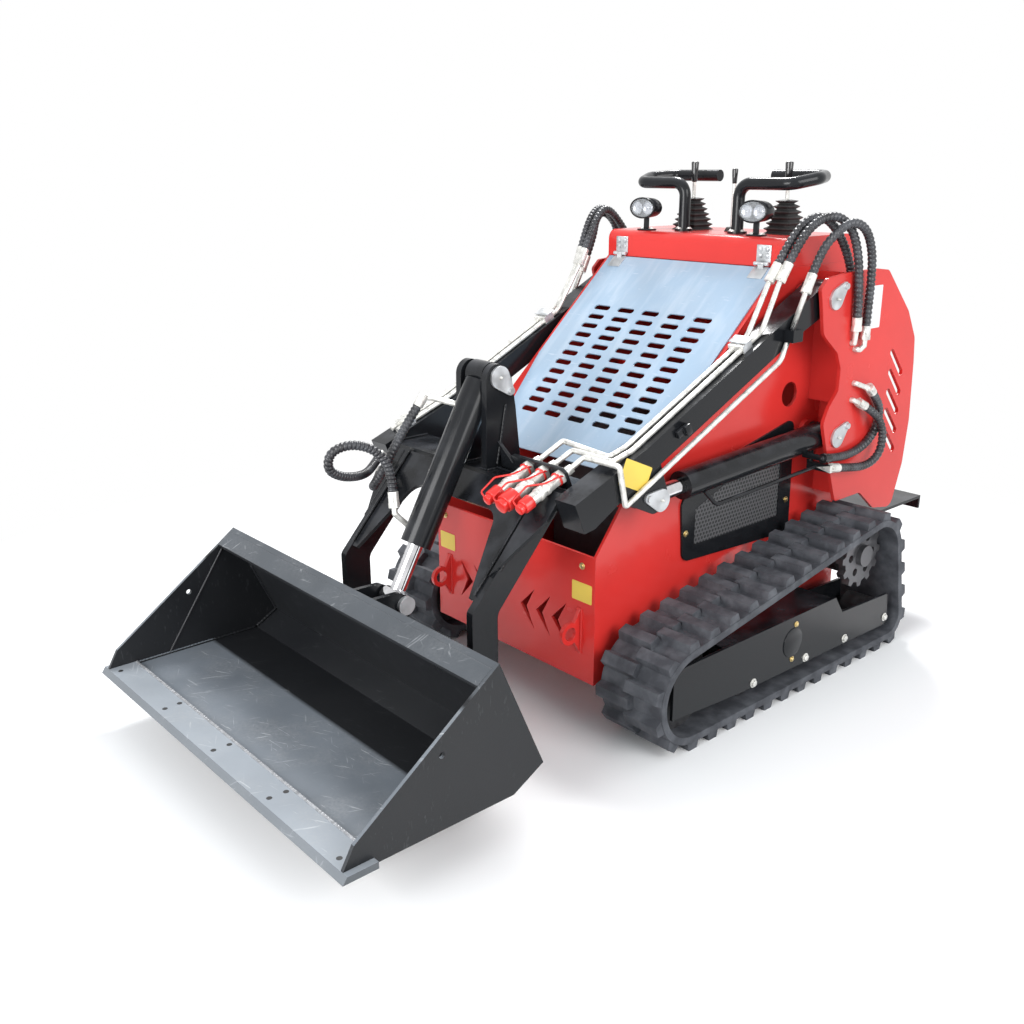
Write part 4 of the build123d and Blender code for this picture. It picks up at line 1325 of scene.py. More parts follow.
@dataclass
class Lamps(Trade):
    """Oval work lamps with bezel, two reflectors, clear cover and bracket."""

    places: Pair = (-187.0, 190.0)
    front: float = 658.0
    height: float = 1195.0
    half: Pair = (46.0, 29.0)
    depth: float = 40.0
    taper: float = 0.9
    bezel: float = 4.5
    hollow: float = 9.0
    corners: int = 40
    bowl_offset: float = 19.0
    bowl_radius: float = 17.5

    def flatten(self, obj: Object) -> None:
        """Make a round form as flat as the lamp."""
        obj.scale = (1.0, self.half[1] / self.half[0], 1.0)

    def shell(self, x: float) -> Object:
        """Housing with a hollow front and a raised back.

        Args:
            x: Middle of the lamp.

        Returns:
            The housing.
        """
        bench, z = self.bench, self.height
        shell = bench.bar(
            (x, self.front, z), (x, self.front + self.depth, z), self.half[0], self.corners,
            self.half[0] * self.taper,
        )
        self.flatten(shell)
        bpy.ops.object.transform_apply(location=True, rotation=True, scale=True)
        back = place(x, self.front, z).y + 0.03
        bench.edit(shell)
        for chosen, rim, push in (
            (lambda face: face.normal.y < -0.9, self.bezel, self.hollow),
            (lambda face: face.normal.y > 0.9 and face.center.y > back, 8.0, 5.0),
        ):
            bench.pick_faces(shell, chosen)
            bpy.ops.mesh.inset(thickness=rim * MM)
            bpy.ops.mesh.extrude_region_move(TRANSFORM_OT_translate={"value": (0.0, push * MM, 0.0)})
        bench.leave()
        return bench.soften(shell, 1.6)

    def bowl(self, x: float) -> Object:
        """Half a hollow ball, flattened.

        Args:
            x: Middle of the bowl.

        Returns:
            The bowl.
        """
        at = (x, self.front + 4.5, self.height)
        bowl = self.bench.ball(at, self.bowl_radius, 24)
        self.bench.trim(bowl, at, (0, -1, 0))
        bowl.scale = (1.0, 0.25, 1.0)
        self.bench.apply(bowl, "SOLIDIFY", thickness=0.8 * MM)
        return bowl

    def build(self) -> None:
        """Model both lamps."""
        bench, y, z = self.bench, self.front, self.height
        shells, bowls, covers, brackets = [], [], [], []
        for x in self.places:
            shells.append(self.shell(x))
            for middle in (x - self.bowl_offset, x + self.bowl_offset):
                bowls += [self.bowl(middle), bench.ball((middle, y + 6.0, z), 4.0, 12)]
            cover = bench.bar((x, y + 1.5, z), (x, y + 3.0, z), self.half[0] - 5, self.corners)
            self.flatten(cover)
            covers.append(cover)
            brackets += [
                bench.soften(bench.slab((x, 680, 1155), (18, 4, 42)), 1.0),
                bench.soften(bench.slab((x, 682, 1136), (46, 30, 4)), 1.0),
            ]
        for parts, name, finish, nodes in (
            (shells + brackets, "lamp_shells", "black_enamel", ["work_lamps"]),
            (bowls, "lamp_bowls", "chrome_rod", []), (covers, "lamp_covers", "lamp_lens", []),
        ):
            self.hand_over(bench.join(parts, name), finish, "chassis", "black_paint", *nodes)


@dataclass
class Levers(Trade):
    """Two joysticks in square pleated boots and a short lever between them."""

    pleats: int = 6
    base: float = 88.0
    height: float = 84.0
    floor: float = 1134.0
    narrowing: float = 0.52
    pleat_depth: float = 18.0
    cap_height: float = 3.0
    cap_share: float = 0.4
    shaft_radius: float = 5.0

    def boot(self, x: float, y: float) -> Object:
        """Square bellows drawn up pleat by pleat.

        Args:
            x: Middle of the boot.
            y: Middle of the boot.

        Returns:
            The boot.
        """
        bench = self.bench
        bench.clear()
        bpy.ops.mesh.primitive_plane_add(size=self.base * MM, location=place(x, y, self.floor))
        boot = bpy.context.active_object
        bench.edit(boot, whole=True)
        step = self.height / self.pleats / 2
        wide, reached = self.base, self.floor
        levels = []
        for level in range(2 * self.pleats):
            target = self.base * (1.0 - self.narrowing * (level // 2 + 0.5) / self.pleats)
            target -= 0.0 if level % 2 else self.pleat_depth
            levels.append((step, target / wide))
            wide = target
        for rise, share in [*levels, (self.cap_height, self.cap_share)]:
            reached += rise
            bpy.ops.mesh.extrude_region_move(TRANSFORM_OT_translate={"value": (0.0, 0.0, rise * MM)})
            bpy.ops.transform.resize(value=(share, share, 1.0), center_override=place(x, y, reached))
        bench.face_out(boot)
        return bench.soften(boot, 2.0, 3)

    def build(self) -> None:
        """Model the levers."""
        bench = self.bench
        boots = [self.boot(-124.0, 806.0), self.boot(190.0, 806.0)]
        shafts, knobs = [], []
        for x, y, low, knob_low, knob_high, radius in (
            (-124.0, 806.0, 1214.0, 1263.0, 1318.0, 11.0), (190.0, 806.0, 1214.0, 1262.0, 1316.0, 11.0),
            (24.0, 796.0, 1136.0, 1259.0, 1299.0, 8.5),
        ):
            shafts.append(bench.bar((x, y, low), (x, y, knob_low + 4), self.shaft_radius, 20))
            knob = bench.bar((x, y, knob_low), (x, y, knob_high), radius * 0.72, 24, radius)
            knobs.append(bench.soften(knob, 3.5, 4))
        boots.append(bench.soften(bench.bar((24, 796, 1134), (24, 796, 1146), 22.0, 28, 15.0), 2.0, 3))
        for parts, name, finish, nodes in (
            (boots, "lever_boots", "boot_rubber", ["control_levers"]),
            (shafts, "lever_shafts", "zinc_plate", []), (knobs, "lever_knobs", "knob_plastic", []),
        ):
            self.hand_over(bench.join(parts, name), finish, "chassis", "hose_rubber", *nodes)


@dataclass
class Couplers(Trade):
    """Three quick couplers with their nuts, sleeves, red caps and straps, and the plate that holds them."""

    places: tuple[float, ...] = (181.0, 232.0, 284.0)
    cap_radii: tuple[float, ...] = (17.0, 22.0, 17.0)
    reaches: tuple[float, ...] = (146.0, 150.0, 142.0)
    root: Pair = (-92.0, 663.0)
    heading: Pair = (-0.92, -0.39)
    strap_radius: float = 2.2
    strap_bend: float = 10.0

    def at(self, x: float, reach: float, aside: float = 0.0, above: float = 0.0) -> Point:
        """Point on a coupler's axis, or beside or above it.

        Args:
            x: Place of the coupler.
            reach: Distance along its axis.
            aside: Distance to the left of the axis.
            above: Distance above the axis.

        Returns:
            The point.
        """
        (along_y, along_z), (y, z) = self.heading, self.root
        return (x + aside, y + along_y * reach - along_z * above, z + along_z * reach - along_y * above)

    def strap(self, x: float, cap: float, reach: float) -> Object:
        """Strap from a cap back over the sleeve to its ring.

        Args:
            x: Place of the coupler.
            cap: Radius of its cap.
            reach: Distance of the cap's end.

        Returns:
            The strap.
        """
        corners = [
            self.at(x, reach - 8, -cap + 4, 0), self.at(x, reach - 4, -cap - 12, 12),
            self.at(x, reach - 40, -cap - 10, 26), self.at(x, 74, 4, 22),
            self.at(x, 38, 18, 22), self.at(x, 20, 14, 10),
        ]
        return self.bench.rod(corners, self.strap_bend, self.strap_radius, "cap_strap")

    def build(self) -> None:
        """Model the plate, the couplers and the straps."""
        bench = self.bench
        plate = bench.settle(bench.slab((212, -92, 655), (180, 8, 56), (23, 0, 0)), "coupler_stand")
        for x, sideways in ((290.0, 1.0), (134.0, -1.0)):
            bench.trim(plate, (x, -92, 684), (sideways, 0.0, 1.0), fill=True)
        bench.soften(plate, 0.8)
        self.hand_over(plate, "black_enamel", "lift_arms", "black_paint", "coupler_plate")
        metal, caps, straps = [], [], []
        for x, cap, reach in zip(self.places, self.cap_radii, self.reaches):
            for start, end, radius, corners in (
                (-20, 6, 10.5, 24), (4, 17, 18.0, 6), (17, 34, 15.0, 6), (33, 108, 13.5, 28),
                (52, 62, 15.2, 28), (70, 84, 15.6, 28),
            ):
                piece = bench.bar(self.at(x, start), self.at(x, end), radius, corners)
                metal.append(bench.soften(piece, 1.2))
            for start, end, radius, corners, far_radius, width, steps in (
                (104, reach - 12, cap, 32, cap - 1, 2.2, 3), (reach - 13, reach, cap - 5, 28, None, 2.0, 3),
                (18, 22, 16.6, 28, None, 1.2, 2),
            ):
                piece = bench.bar(self.at(x, start), self.at(x, end), radius, corners, far_radius)
                caps.append(bench.soften(piece, width, steps))
            straps.append(self.strap(x, cap, reach))
        sleeves = bench.join(metal, "coupler_sleeves")
        self.hand_over(sleeves, "zinc_plate", "lift_arms", "zinc", "quick_couplers")
        self.hand_over(bench.join(caps + straps, "coupler_caps"), "cap_red", "lift_arms", "zinc")


@dataclass
class SteelLines(Trade):
    """Steel lines on the arms: the drawn ones behind the knee, and their bent front ends to the couplers."""

    radius: float = 6.6
    bend: float = 16.0
    cut_y: float = 400.0
    top_slope: float = 0.48165
    side_slope: float = 0.47609
    side_clamps: tuple[Pair, ...] = ((554.0, 598.0), (238.0, 268.0))
    side_face: float = 381.0
    clamp_face: float = 397.0
    top_clamp_sides: Pair = (324.0, 368.0)

    def top_line_z(self, y: float) -> float:
        """Height of the lines along the arm's top edge."""
        return 719.8 + (y - 75.0) * self.top_slope

    def side_line_z(self, y: float) -> float:
        """Height of the line along the arm's outer side."""
        return 623.0 + (y - 60.0) * self.side_slope

    def is_side_clamp(self, middle: Vector, normal: Vector) -> bool:
        """Whether a face belongs to a block on an arm's outer side.

        Args:
            middle: Middle of the face.
            normal: Its normal.

        Returns:
            True if it does.
        """
        x, line_z = abs(middle.x), 852.0 + (middle.y - 541.0) * 0.4761
        beside = x > self.side_face and any(low < middle.y < high for low, high in self.side_clamps)
        return beside and (abs(normal.x) > 0.7 and x > self.clamp_face or abs(middle.z - line_z) > 9.0)

    def is_top_clamp(self, middle: Vector, normal: Vector) -> bool:
        """Whether a face belongs to a block on an arm's top edge, below its cover plate.

        Args:
            middle: Middle of the face.
            normal: Its normal.

        Returns:
            True if it does.
        """
        x = abs(middle.x)
        flank = any(abs(x - edge) < 0.5 for edge in self.top_clamp_sides)
        return x < 372.0 and abs(normal.x) > 0.95 and middle.y < 480.0 and flank

    def rear(self) -> None:
        """Cut the drawn left lines off before the middle clamp."""
        bench = self.bench
        lines = bench.copy_of("arm_lines", "arm_lines_rear")
        bench.edit(lines, whole=True)
        bpy.ops.mesh.bisect(plane_co=place(0, self.cut_y, 0), plane_no=(0, 1, 0))
        front = place(0, self.cut_y + 0.01, 0).y
        bench.pick_faces(lines, lambda face: face.center.x > 0.0 and face.center.y < front)
        bpy.ops.mesh.delete(type="FACE")
        bench.leave()
        bench.smooth(lines, 40.0)
        self.palette.dress(lines, "zinc_plate")
        self.palette.dress_where(lines, "black_enamel", self.is_side_clamp)
        self.palette.dress_where(lines, "galvanised", self.is_top_clamp)
        self.hold(lines, "lift_arms", "zinc", "arm_lines")

    def front(self) -> None:
        """Lead new lines from the cut over to the couplers, each with its nut."""
        bench, end = self.bench, self.cut_y + 2.0
        routes = (
            [(181, -80, 667), (181, 6, 703), (334, 0, 696), (334, 52, self.top_line_z(52)),
             (334, end, self.top_line_z(end))],
            [(232, -80, 667), (232, -12, 694), (358, -14, 692), (358, 48, self.top_line_z(48)),
             (358, end, self.top_line_z(end))],
            [(284, -80, 667), (284, -28, 690), (391, -26, 690), (389.3, -2, self.side_line_z(-2)),
             (389.3, end, self.side_line_z(end))],
        )
        parts = [bench.rod(route, self.bend, self.radius, "tube") for route in routes]
        for (x, y, z), (_, next_y, next_z), *_rest in routes:
            heading = Vector((0, next_y - y, next_z - z)).normalized()
            base = Vector((x, y, z)) - heading * 2
            parts.append(bench.soften(bench.bar(tuple(base), tuple(base + heading * 16), 11.5, 6), 1.0))
        self.hand_over(bench.join(parts, "arm_lines_front"), "zinc_plate", "lift_arms", "zinc")

    def build(self) -> None:
        """Make the lines and the stay beside the outer one."""
        self.rear()
        self.front()
        blocks = [
            self.bench.soften(self.bench.slab(middle, size, (25.7, 0, 0)), 2.0)
            for middle, size in (((387, 184, 735), (10, 40, 18)), ((395, 192, 738), (12, 18, 26)))
        ]
        self.hand_over(self.bench.join(blocks, "arm_stay"), "black_enamel", "lift_arms", "black_paint")


class Fastener(Enum):
    """Kinds of screw heads: corners, radius and height in millimetres."""

    HEX = (6, 9.0, 6.5)
    SMALL_HEX = (6, 6.0, 4.5)
    ROUND = (16, 5.5, 3.0)
    BRASS = (6, 6.5, 5.0)


@dataclass(frozen=True)
class FastenerRow:
    """Like screws on one body."""

    name: str
    body: str
    kind: Fastener
    finish: str
    heading: Point
    places: tuple[Point, ...]


def both_sides(*points: Point) -> tuple[Point, ...]:
    """The points and their mirror images."""
    return points + tuple(Side.RIGHT.of(point) for point in points)


ROLLER_BOLTS = ((505, 358, 84), (505, 581, 82), (505, 765, 80), (505, 968, 84))

FASTENER_ROWS = (
    FastenerRow("roller_bolts_left", "chassis", Fastener.HEX, "zinc_plate", (1, 0, 0), ROLLER_BOLTS),
    FastenerRow("roller_bolts_right", "chassis", Fastener.HEX, "zinc_plate", (-1, 0, 0),
                tuple(Side.RIGHT.of(bolt) for bolt in ROLLER_BOLTS)),
    FastenerRow("hatch_bolts_left", "chassis", Fastener.SMALL_HEX, "brass_bolt", (1, 0, 0),
                ((505, 527, 193), (505, 519, 98))),
    FastenerRow("panel_bolts", "chassis", Fastener.BRASS, "brass_bolt", (0, -1, 0),
                ((-266, 0, 415), (257, 0, 416))),
    FastenerRow("vent_bolts", "chassis", Fastener.BRASS, "brass_bolt", (1, 0, 0),
                ((306, 312, 436), (306, 732, 438), (306, 520, 590))),
    FastenerRow("hinge_rivets", "chassis", Fastener.ROUND, "galvanised", (0, -1, 0),
                both_sides((234, 642.6, 1090), (256, 642.6, 1090), (234, 642.6, 1106), (256, 642.6, 1106))),
    FastenerRow("lamp_bolts", "chassis", Fastener.SMALL_HEX, "zinc_plate", (0, 0, 1),
                ((-203, 684, 1138), (-171, 684, 1138), (174, 684, 1138), (206, 684, 1138))),
    FastenerRow("handle_bolts", "chassis", Fastener.SMALL_HEX, "zinc_plate", (0, 0, 1),
                both_sides((92, 711, 1140), (73, 730, 1140), (111, 730, 1140))),
    FastenerRow("clamp_bolts_top", "lift_arms", Fastener.SMALL_HEX, "galvanised", (0, -0.434, 0.901),
                ((346, 427, 900), (-346, 427, 900), (-346, 140, 760))),
    FastenerRow("clamp_bolts_side", "lift_arms", Fastener.SMALL_HEX, "galvanised", (1, 0, 0),
                ((404, 565, 902), (404, 588, 918))),
)


@dataclass
class Fasteners(Trade):
    """Screws with washers, modelled once a kind and copied."""

    washer_share: float = 1.35
    washer_height: float = 1.4
    twist: float = 0.7

    def head(self, kind: Fastener) -> Object:
        """One screw head on its washer, standing at the origin along Z.

        Args:
            kind: Kind of screw.

        Returns:
            The screw head.
        """
        corners, radius, height = kind.value
        bench, foot = self.bench, (0, -ORIGIN_SHIFT_Y)
        washer = bench.bar((*foot, 0), (*foot, self.washer_height), radius * self.washer_share, 20)
        head = bench.bar((*foot, 1.2), (*foot, height), radius, corners)
        return bench.join([bench.soften(washer, 0.3, 1), bench.soften(head, 0.9)], "screw")

    def build(self) -> None:
        """Place all screws."""
        models = {kind: self.head(kind) for kind in Fastener}
        for row in FASTENER_ROWS:
            turn = Vector(row.heading).to_track_quat("Z", "Y").to_matrix().to_4x4()
            copies = []
            for index, spot in enumerate(row.places):
                copy = link_new(f"{row.name}_{index}", models[row.kind].data.copy())
                twist = Matrix.Rotation(self.twist * index, 4, "Z")
                copy.matrix_world = Matrix.Translation(place(*spot)) @ turn @ twist
                copies.append(copy)
            self.hand_over(self.bench.join(copies, row.name), row.finish, row.body, "zinc")
        for model in models.values():
            bpy.data.objects.remove(model)


@dataclass(frozen=True)
class Label:
    """Blank film label with round corners."""

    name: str
    body: str
    finish: str
    middle: Point
    size: Pair
    turn: Point


LABELS = (
    Label("label_front_right", "chassis", "label_yellow", (-258, -0.4, 343), (62, 46), (90, 0, 0)),
    Label("label_front_left", "chassis", "label_yellow", (257, -0.4, 350), (66, 48), (90, 0, 0)),
    Label("label_arm", "lift_arms", "label_yellow", (382.4, 36, 656), (94, 60), (90, 24, 90)),
    Label("label_tower", "chassis", "label_white", (400.4, 922, 950), (84, 112), (90, 0, 90)),
    Label("label_bracket", "lift_arms", "label_yellow", (-150, -60, 630.4), (60, 44), (0, 0, 0)),
)

PAINT_SLOTS = {"chassis": "red_paint", "lift_arms": "black_paint", "bucket_body": "black_paint"}


@dataclass
class Labels(Trade):
    """All labels, left blank."""

    corner: float = 3.5
    thickness: float = 0.5

    def build(self) -> None:
        """Model each label as a thin film."""
        bench = self.bench
        for label in LABELS:
            bench.clear()
            turn = [math.radians(angle) for angle in label.turn]
            bpy.ops.mesh.primitive_plane_add(size=1.0, location=place(*label.middle), rotation=turn)
            film = bpy.context.active_object
            film.scale = (label.size[0] * MM, label.size[1] * MM, 1.0)
            bench.settle(film, label.name)
            bench.edit(film, "VERT", whole=True)
            bpy.ops.mesh.bevel(offset=self.corner * MM, segments=4, affect="VERTICES")
            bench.leave()
            bench.apply(film, "SOLIDIFY", thickness=self.thickness * MM, offset=0.0)
            self.hand_over(film, label.finish, label.body, PAINT_SLOTS[label.body])


@dataclass(frozen=True)
class Seam:
    """Weld beads of one thickness on one body."""

    name: str
    body: str
    finish: str
    radius: float
    runs: tuple[tuple[Point, Point], ...]
    mirrored: bool = True

    def all_runs(self) -> list[tuple[Point, Point]]:
        """The runs, with their mirror images where there are some."""
        sides = Side if self.mirrored else (Side.LEFT,)
        return [(side.of(start), side.of(end)) for side in sides for start, end in self.runs]


SEAMS = (
    Seam("weld_bucket_floor", "bucket_body", "weld_steel", 4.5, (
        ((-520, -783, 140), (520, -783, 140)),
    ), mirrored=False),
    Seam("weld_side_plates", "bucket_body", "dark_casting", 3.0, (
        ((521.5, -530, 378), (521.5, -694, 140)),
    )),
    Seam("weld_bucket_sides", "bucket_body", "worn_black", 4.5, (
        ((521, -784, 137), (521, -456, 137)), ((521, -450, 139), (521, -391, 172)),
        ((521, -391, 176), (521, -496, 412)),
    )),
    Seam("weld_bracket", "lift_arms", "black_enamel", 4.0, (
        ((58, -120, 631), (58, -16, 631)), ((36, -120, 631), (36, -16, 631)),
        ((36, -123, 632), (58, -123, 632)),
    )),
    Seam("weld_legs", "lift_arms", "black_enamel", 4.0, (
        ((262, -258, 472), (262, -128, 618)), ((238, -312, 422), (238, -132, 620)),
    )),
    Seam("weld_gussets", "lift_arms", "black_enamel", 4.0, (
        ((118, -90, 632), (58, -90, 632)), ((58, -90, 640), (58, -62, 780)),
    )),
    Seam("weld_coupler_plate", "lift_arms", "black_enamel", 3.5, (
        ((124, -98, 631), (300, -98, 631)),
    ), mirrored=False),
    Seam("weld_arm_fronts", "lift_arms", "black_enamel", 4.0, (((318, -118, 632), (318, -14, 632)),)),
    Seam("weld_tow_eyes", "chassis", "red_enamel", 3.5, (
        ((243, -1, 192), (243, -1, 307)), ((257, -1, 192), (257, -1, 307)),
    )),
)


@dataclass
class Welds(Trade):
    """Rippled weld beads, each drawn along a straight run."""

    ripple: float = 5.0
    wander: float = 0.0004
    wander_pace: float = 1.7
    hollow_share: float = 0.72

    def bead(self, run: tuple[Point, Point], radius: float) -> Object:
        """One bead with its ripples.

        Args:
            run: Its two ends.
            radius: Its radius at a ripple.

        Returns:
            The bead.
        """
        start, end = (place(*point) for point in run)
        steps = 2 * max(3, round((end - start).length / (self.ripple * MM)))
        points = []
        for index in range(steps + 1):
            wander = math.sin(index * self.wander_pace) * self.wander
            points.append(start.lerp(end, index / steps) + Vector((wander, 0.0, wander)))
        bead = curve_along(
            "bead", points, "POLY", bevel_depth=radius * MM, bevel_resolution=1, use_fill_caps=True
        )
        for index, control in enumerate(bead.data.splines[0].points):
            control.radius = 1.0 if index % 2 else self.hollow_share
        made = self.bench.solid_of(bead)
        bpy.ops.object.shade_smooth()
        return made

    def build(self) -> None:
        """Lay all seams."""
        for seam in SEAMS:
            made = self.bench.join([self.bead(run, seam.radius) for run in seam.all_runs()], seam.name)
            self.bench.face_out(made)
            self.hand_over(made, seam.finish, seam.body, PAINT_SLOTS[seam.body])


@dataclass
class SmallParts(Trade):
    """Gussets beside the bracket, hatches, clamp covers, grease nipples, dark discs of painted shade for lip
    holes, and plated fittings.
    """

    hatch_at: Point = (504.0, 517.0, 145.0)
    hatch_radius: float = 40.0
    hatch_thickness: float = 3.0
    clamp_slope: float = 25.7
    lip_top: float = 140.7
    lip_hole_radius: float = 6.0
    lip_hole_shade_discs_y: Pair = (-833.0, -797.0)

    def gussets(self) -> None:
        """Three-cornered plates on both sides of the bracket."""
        bench = self.bench
        plates = []
        for side in Side:
            plate = bench.slab(side.of((88, -85, 712)), (66, 10, 166), (10, 0, 0))
            bench.settle(plate, "gusset")
            bench.trim(plate, side.of((119, -90, 632)), side.of((158.0, 0.0, 62.0)), fill=True)
            plates.append(bench.soften(plate, 0.8))
        self.hand_over(bench.join(plates, "bracket_gussets"), "black_enamel", "lift_arms", "black_paint")

    def hatches(self) -> None:
        """Round covers in the track frames' outer plates."""
        bench, (x, y, z) = self.bench, self.hatch_at
        covers = []
        for side in Side:
            inner, outer = side.of((x, y, z)), side.of((x + self.hatch_thickness, y, z))
            covers.append(bench.soften(bench.bar(inner, outer, self.hatch_radius, 48), 0.8))
        self.hand_over(bench.join(covers, "track_frame_hatches"), "black_enamel", "chassis", "black_paint")

    def clamp_covers(self) -> None:
        """Thin plates on the top clamps."""
        bench = self.bench
        covers = [
            bench.soften(bench.slab(middle, (52, 30, 2), (self.clamp_slope, 0, 0)), 0.6)
            for middle in ((346.0, 434.0, 911.2), (-346.0, 434.0, 911.2), (-346.0, 146.0, 772.5))
        ]
        self.hand_over(bench.join(covers, "clamp_covers"), "galvanised", "lift_arms", "zinc")

    def nipples(self) -> None:
        """Grease nipples beside the pins."""
        bench = self.bench
        for body, spots in (
            ("chassis", ((407, 743, 986), (407, 805, 617), (-407, 743, 986), (-407, 805, 617))),
            ("lift_arms", ((60, -80, 845), (386, 122, 582), (-386, 122, 582))),
        ):
            parts = []
            for x, y, z in spots:
                outward = math.copysign(1, x)
                parts.append(bench.bar((x, y, z), (x + outward * 5, y, z), 4.0, 6))
                parts.append(bench.ball((x + outward * 6.5, y, z), 2.8, 12))
            self.hand_over(bench.join(parts, f"grease_nipples_{body}"), "zinc_plate", body, "zinc")

    def lip_hole_shade_discs(self) -> None:
        """Dark discs on the cutting edge: painted shade standing for its bolt holes."""
        front, rear = self.lip_hole_shade_discs_y
        spots = [(x, front) for x in (-495, -241, 0, 238, 490)] + [(x, rear) for x in (-243, 1, 240)]
        # Thin black discs, not holes: their dark is painted shade.
        holes = [
            self.bench.bar((x, y, self.lip_top), (x, y, self.lip_top + 0.55), self.lip_hole_radius, 20)
            for x, y in spots
        ]
        self.hand_over(self.bench.join(holes, "lip_hole_shade_discs"), "black_plastic", "bucket_body", "black_paint")

    def fittings(self) -> None:
        """Zinc finish on the fittings that the cylinders carry."""
        nodes = frame["nodes"]
        self.palette.dress_where(nodes["tilt_barrel"], "zinc_plate", lambda middle, _: middle.x < -42.0)
        for side in Side:
            self.palette.dress_where(
                nodes[f"lift_barrel_{side.word}"], "zinc_plate",
                lambda middle, _: abs(middle.x) > 415.0 and 730.0 < middle.y < 785.0 and middle.z < 565.0,
            )

    def build(self) -> None:
        """Make all small parts."""
        self.gussets()
        self.hatches()
        self.clamp_covers()
        self.nipples()
        self.lip_hole_shade_discs()
        self.fittings()


@dataclass
class HoodParts(Trade):
    """Slotted hood with two hinges."""

    foot: Pair = (88.0, 560.0)
    head: Pair = (646.0, 1062.0)
    sheet: float = 4.0
    slot: Pair = (58.0, 17.0)
    slot_rounding: float = 8.3
    columns: int = 5
    rows: int = 12
    field_size: Pair = (354.0, 366.0)
    first_y: float = 228.0
    hinge_x: float = 245.0
    leaf_half: float = 22.0
    knuckle_half: float = 8.0
    knuckle_radius: float = 5.0
    knuckle_at: Pair = (636.0, 1070.0)

    @property
    def slope(self) -> float:
        """Angle of the hood in radians."""
        return math.atan2(self.head[1] - self.foot[1], self.head[0] - self.foot[0])

    @property
    def tilt(self) -> Point:
        """Turn of a box that lies along the hood, in degrees."""
        return (math.degrees(self.slope), 0.0, 0.0)

    @property
    def length(self) -> float:
        """Length of the hood from its foot line to its head line."""
        return math.hypot(self.head[0] - self.foot[0], self.head[1] - self.foot[1])

    def on_hood(self, x: float, along: float, above: float) -> Point:
        """Point on or over the hood.

        Args:
            x: Place across the hood.
            along: Distance up the hood from its foot line.
            above: Distance above its underside.

        Returns:
            The point.
        """
        slope = self.slope
        return (
            x, self.foot[0] + along * math.cos(slope) - above * math.sin(slope),
            self.foot[1] + along * math.sin(slope) + above * math.cos(slope),
        )

    def slot_tools(self) -> Object:
        """Blocks with round ends for all slots.

        Returns:
            The blocks as one object.
        """
        bench = self.bench
        model = bench.slab(self.on_hood(0.0, 0.0, 2.0), (*self.slot, 60.0), self.tilt)
        bench.apply(model, "BEVEL", width=self.slot_rounding * MM, segments=5, limit_method="ANGLE")
        first = (self.first_y - self.foot[0]) / math.cos(self.slope)
        cutters = []
        for column in range(self.columns):
            for row in range(self.rows):
                copy = link_new("slot_tool", model.data.copy())
                across = (column - 2) * self.field_size[0] / (self.columns - 1)
                along = first + row * self.field_size[1] / (self.rows - 1)
                copy.matrix_world = model.matrix_world.copy()
                copy.location = place(*self.on_hood(across, along, 2.0))
                cutters.append(copy)
        bpy.data.objects.remove(model)
        return bench.join(cutters, "slot_tools")

    def knuckle(self, low: float, high: float) -> Object:
        """Rolled part of a hinge between two places across."""
        bar = self.bench.bar((low, *self.knuckle_at), (high, *self.knuckle_at), self.knuckle_radius, 20)
        return self.bench.soften(bar, 0.6)

    def build(self) -> None:
        """Enlarge the slots in a copy of the hood and set hinges at its head."""
        bench, half = self.bench, self.leaf_half
        hood = bench.copy_of("hood", "hood_sheet")
        head = self.on_hood(0.0, self.length - 52.0, self.sheet + 19.98)
        bench.cut(hood, bench.slab(head, (620, 128, 40), self.tilt))
        bench.cut(hood, self.slot_tools())
        bench.smooth(hood, 30.0)
        # The hood finish carries painted sky reflection in its colour.
        self.hand_over(hood, "hood_enamel_painted_sky", "hood", "hood_paint", "hood")
        leaves, upper = [], []
        for side in Side:
            x = side.value * self.hinge_x
            middle = self.on_hood(x, self.length - 26.0, self.sheet + 1.3)
            leaf = bench.slab(middle, (2 * half, 40, 2.6), self.tilt)
            leaves += [
                bench.soften(leaf, 0.7), self.knuckle(x - self.knuckle_half, x + self.knuckle_half),
                bench.slab((x, 634, 1063), (16, 5, 12)),
            ]
            upper.append(bench.soften(bench.slab((x, 644.5, 1093), (2 * half, 3, 46)), 0.8))
            for low, high in ((x - half, x - 8.6), (x + 8.6, x + half)):
                upper += [
                    self.knuckle(low, high), bench.slab(((low + high) / 2, 640, 1071.5), (high - low, 8, 3)),
                ]
        self.hand_over(bench.join(leaves, "hood_leaves"), "galvanised", "hood", "zinc")
        self.hand_over(bench.join(upper, "hinge_leaves"), "galvanised", "chassis", "zinc", "hood_hinges")


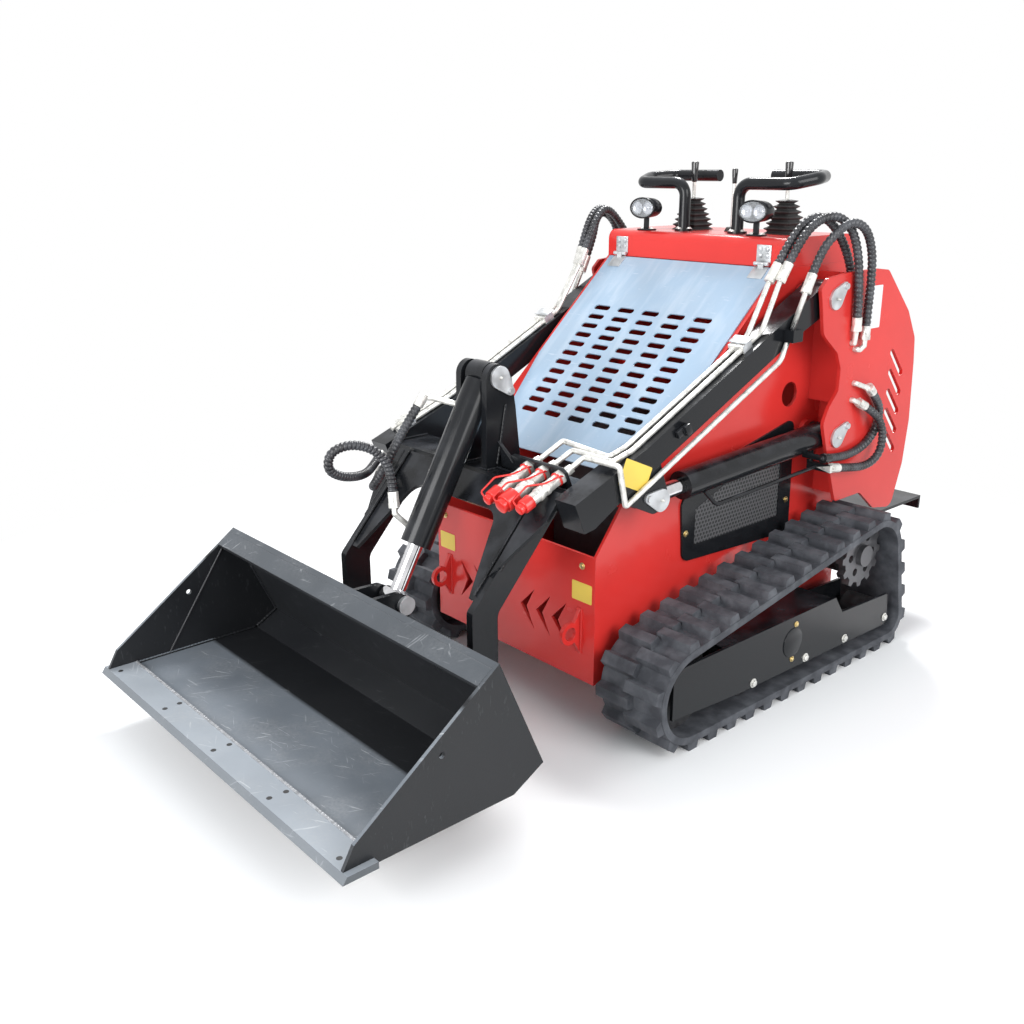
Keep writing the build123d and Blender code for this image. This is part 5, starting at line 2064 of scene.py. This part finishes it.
@dataclass
class BucketParts(Trade):
    """Bucket with its top flange in the plane of the mouth and its side holes near the front edge."""

    drawn_hole: Pair = (-480.0, 300.0)
    hole: Pair = (-629.0, 285.0)
    hole_radius: float = 6.5
    plug_radius: float = 9.8
    flange_limits: Pair = (-540.0, 400.0)
    flange_move: Point = (0.0, 0.0135, -0.0230)

    def build(self) -> None:
        """Rework a copy of the bucket."""
        bench = self.bench
        shell = bench.copy_of("bucket", "bucket_shell")
        bench.edit(shell, "VERT")
        bench.leave()
        edge = place(0, *self.flange_limits)
        for vertex in shell.data.vertices:
            vertex.select = vertex.co.y < edge.y and vertex.co.z > edge.z
        bpy.ops.object.mode_set(mode="EDIT")
        bpy.ops.transform.translate(value=self.flange_move)
        bench.leave()
        for side in Side:
            ends = (side.of((x, *self.drawn_hole)) for x in (522, 530))
            plug = bench.settle(bench.bar(*ends, self.plug_radius, 32), "plug")
            bench.apply(shell, "BOOLEAN", operation="UNION", object=plug, solver="EXACT")
            bpy.data.objects.remove(plug)
        bench.cut(shell, bench.bar((-560, *self.hole), (560, *self.hole), self.hole_radius, 24))
        bench.only(shell)
        bpy.ops.object.shade_flat()
        # The bucket's finish carries painted shadow and painted sheen along with its wear.
        self.hand_over(shell, "worn_black", "bucket_body", "black_paint", "bucket")


TRADES = (
    Towers, VentPanels, Lamps, Levers, Couplers, SteelLines, Fasteners, Labels, Welds, SmallParts, HoodParts,
    BucketParts,
)


def main() -> None:
    """Dress the machine from its hoses to its smallest fasteners."""
    logging.basicConfig(level=logging.INFO)
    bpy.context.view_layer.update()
    Studio().build()
    LOG.info("studio ready")
    palette = Palette()
    for hose in [*(hose.on_side(side) for side in Side for hose in SIDE_HOSES), *TILT_HOSES]:
        hose.build(palette)
    LOG.info("hoses ready")
    for finish, names in NODE_FINISHES.items():
        for name in names:
            palette.dress(frame["nodes"][name], finish)
    LOG.info("finishes ready")
    bench = Bench()
    for trade in TRADES:
        trade(bench, palette).build()
        LOG.info("%s ready", trade.__name__)


if __name__ == "__main__":
    main()
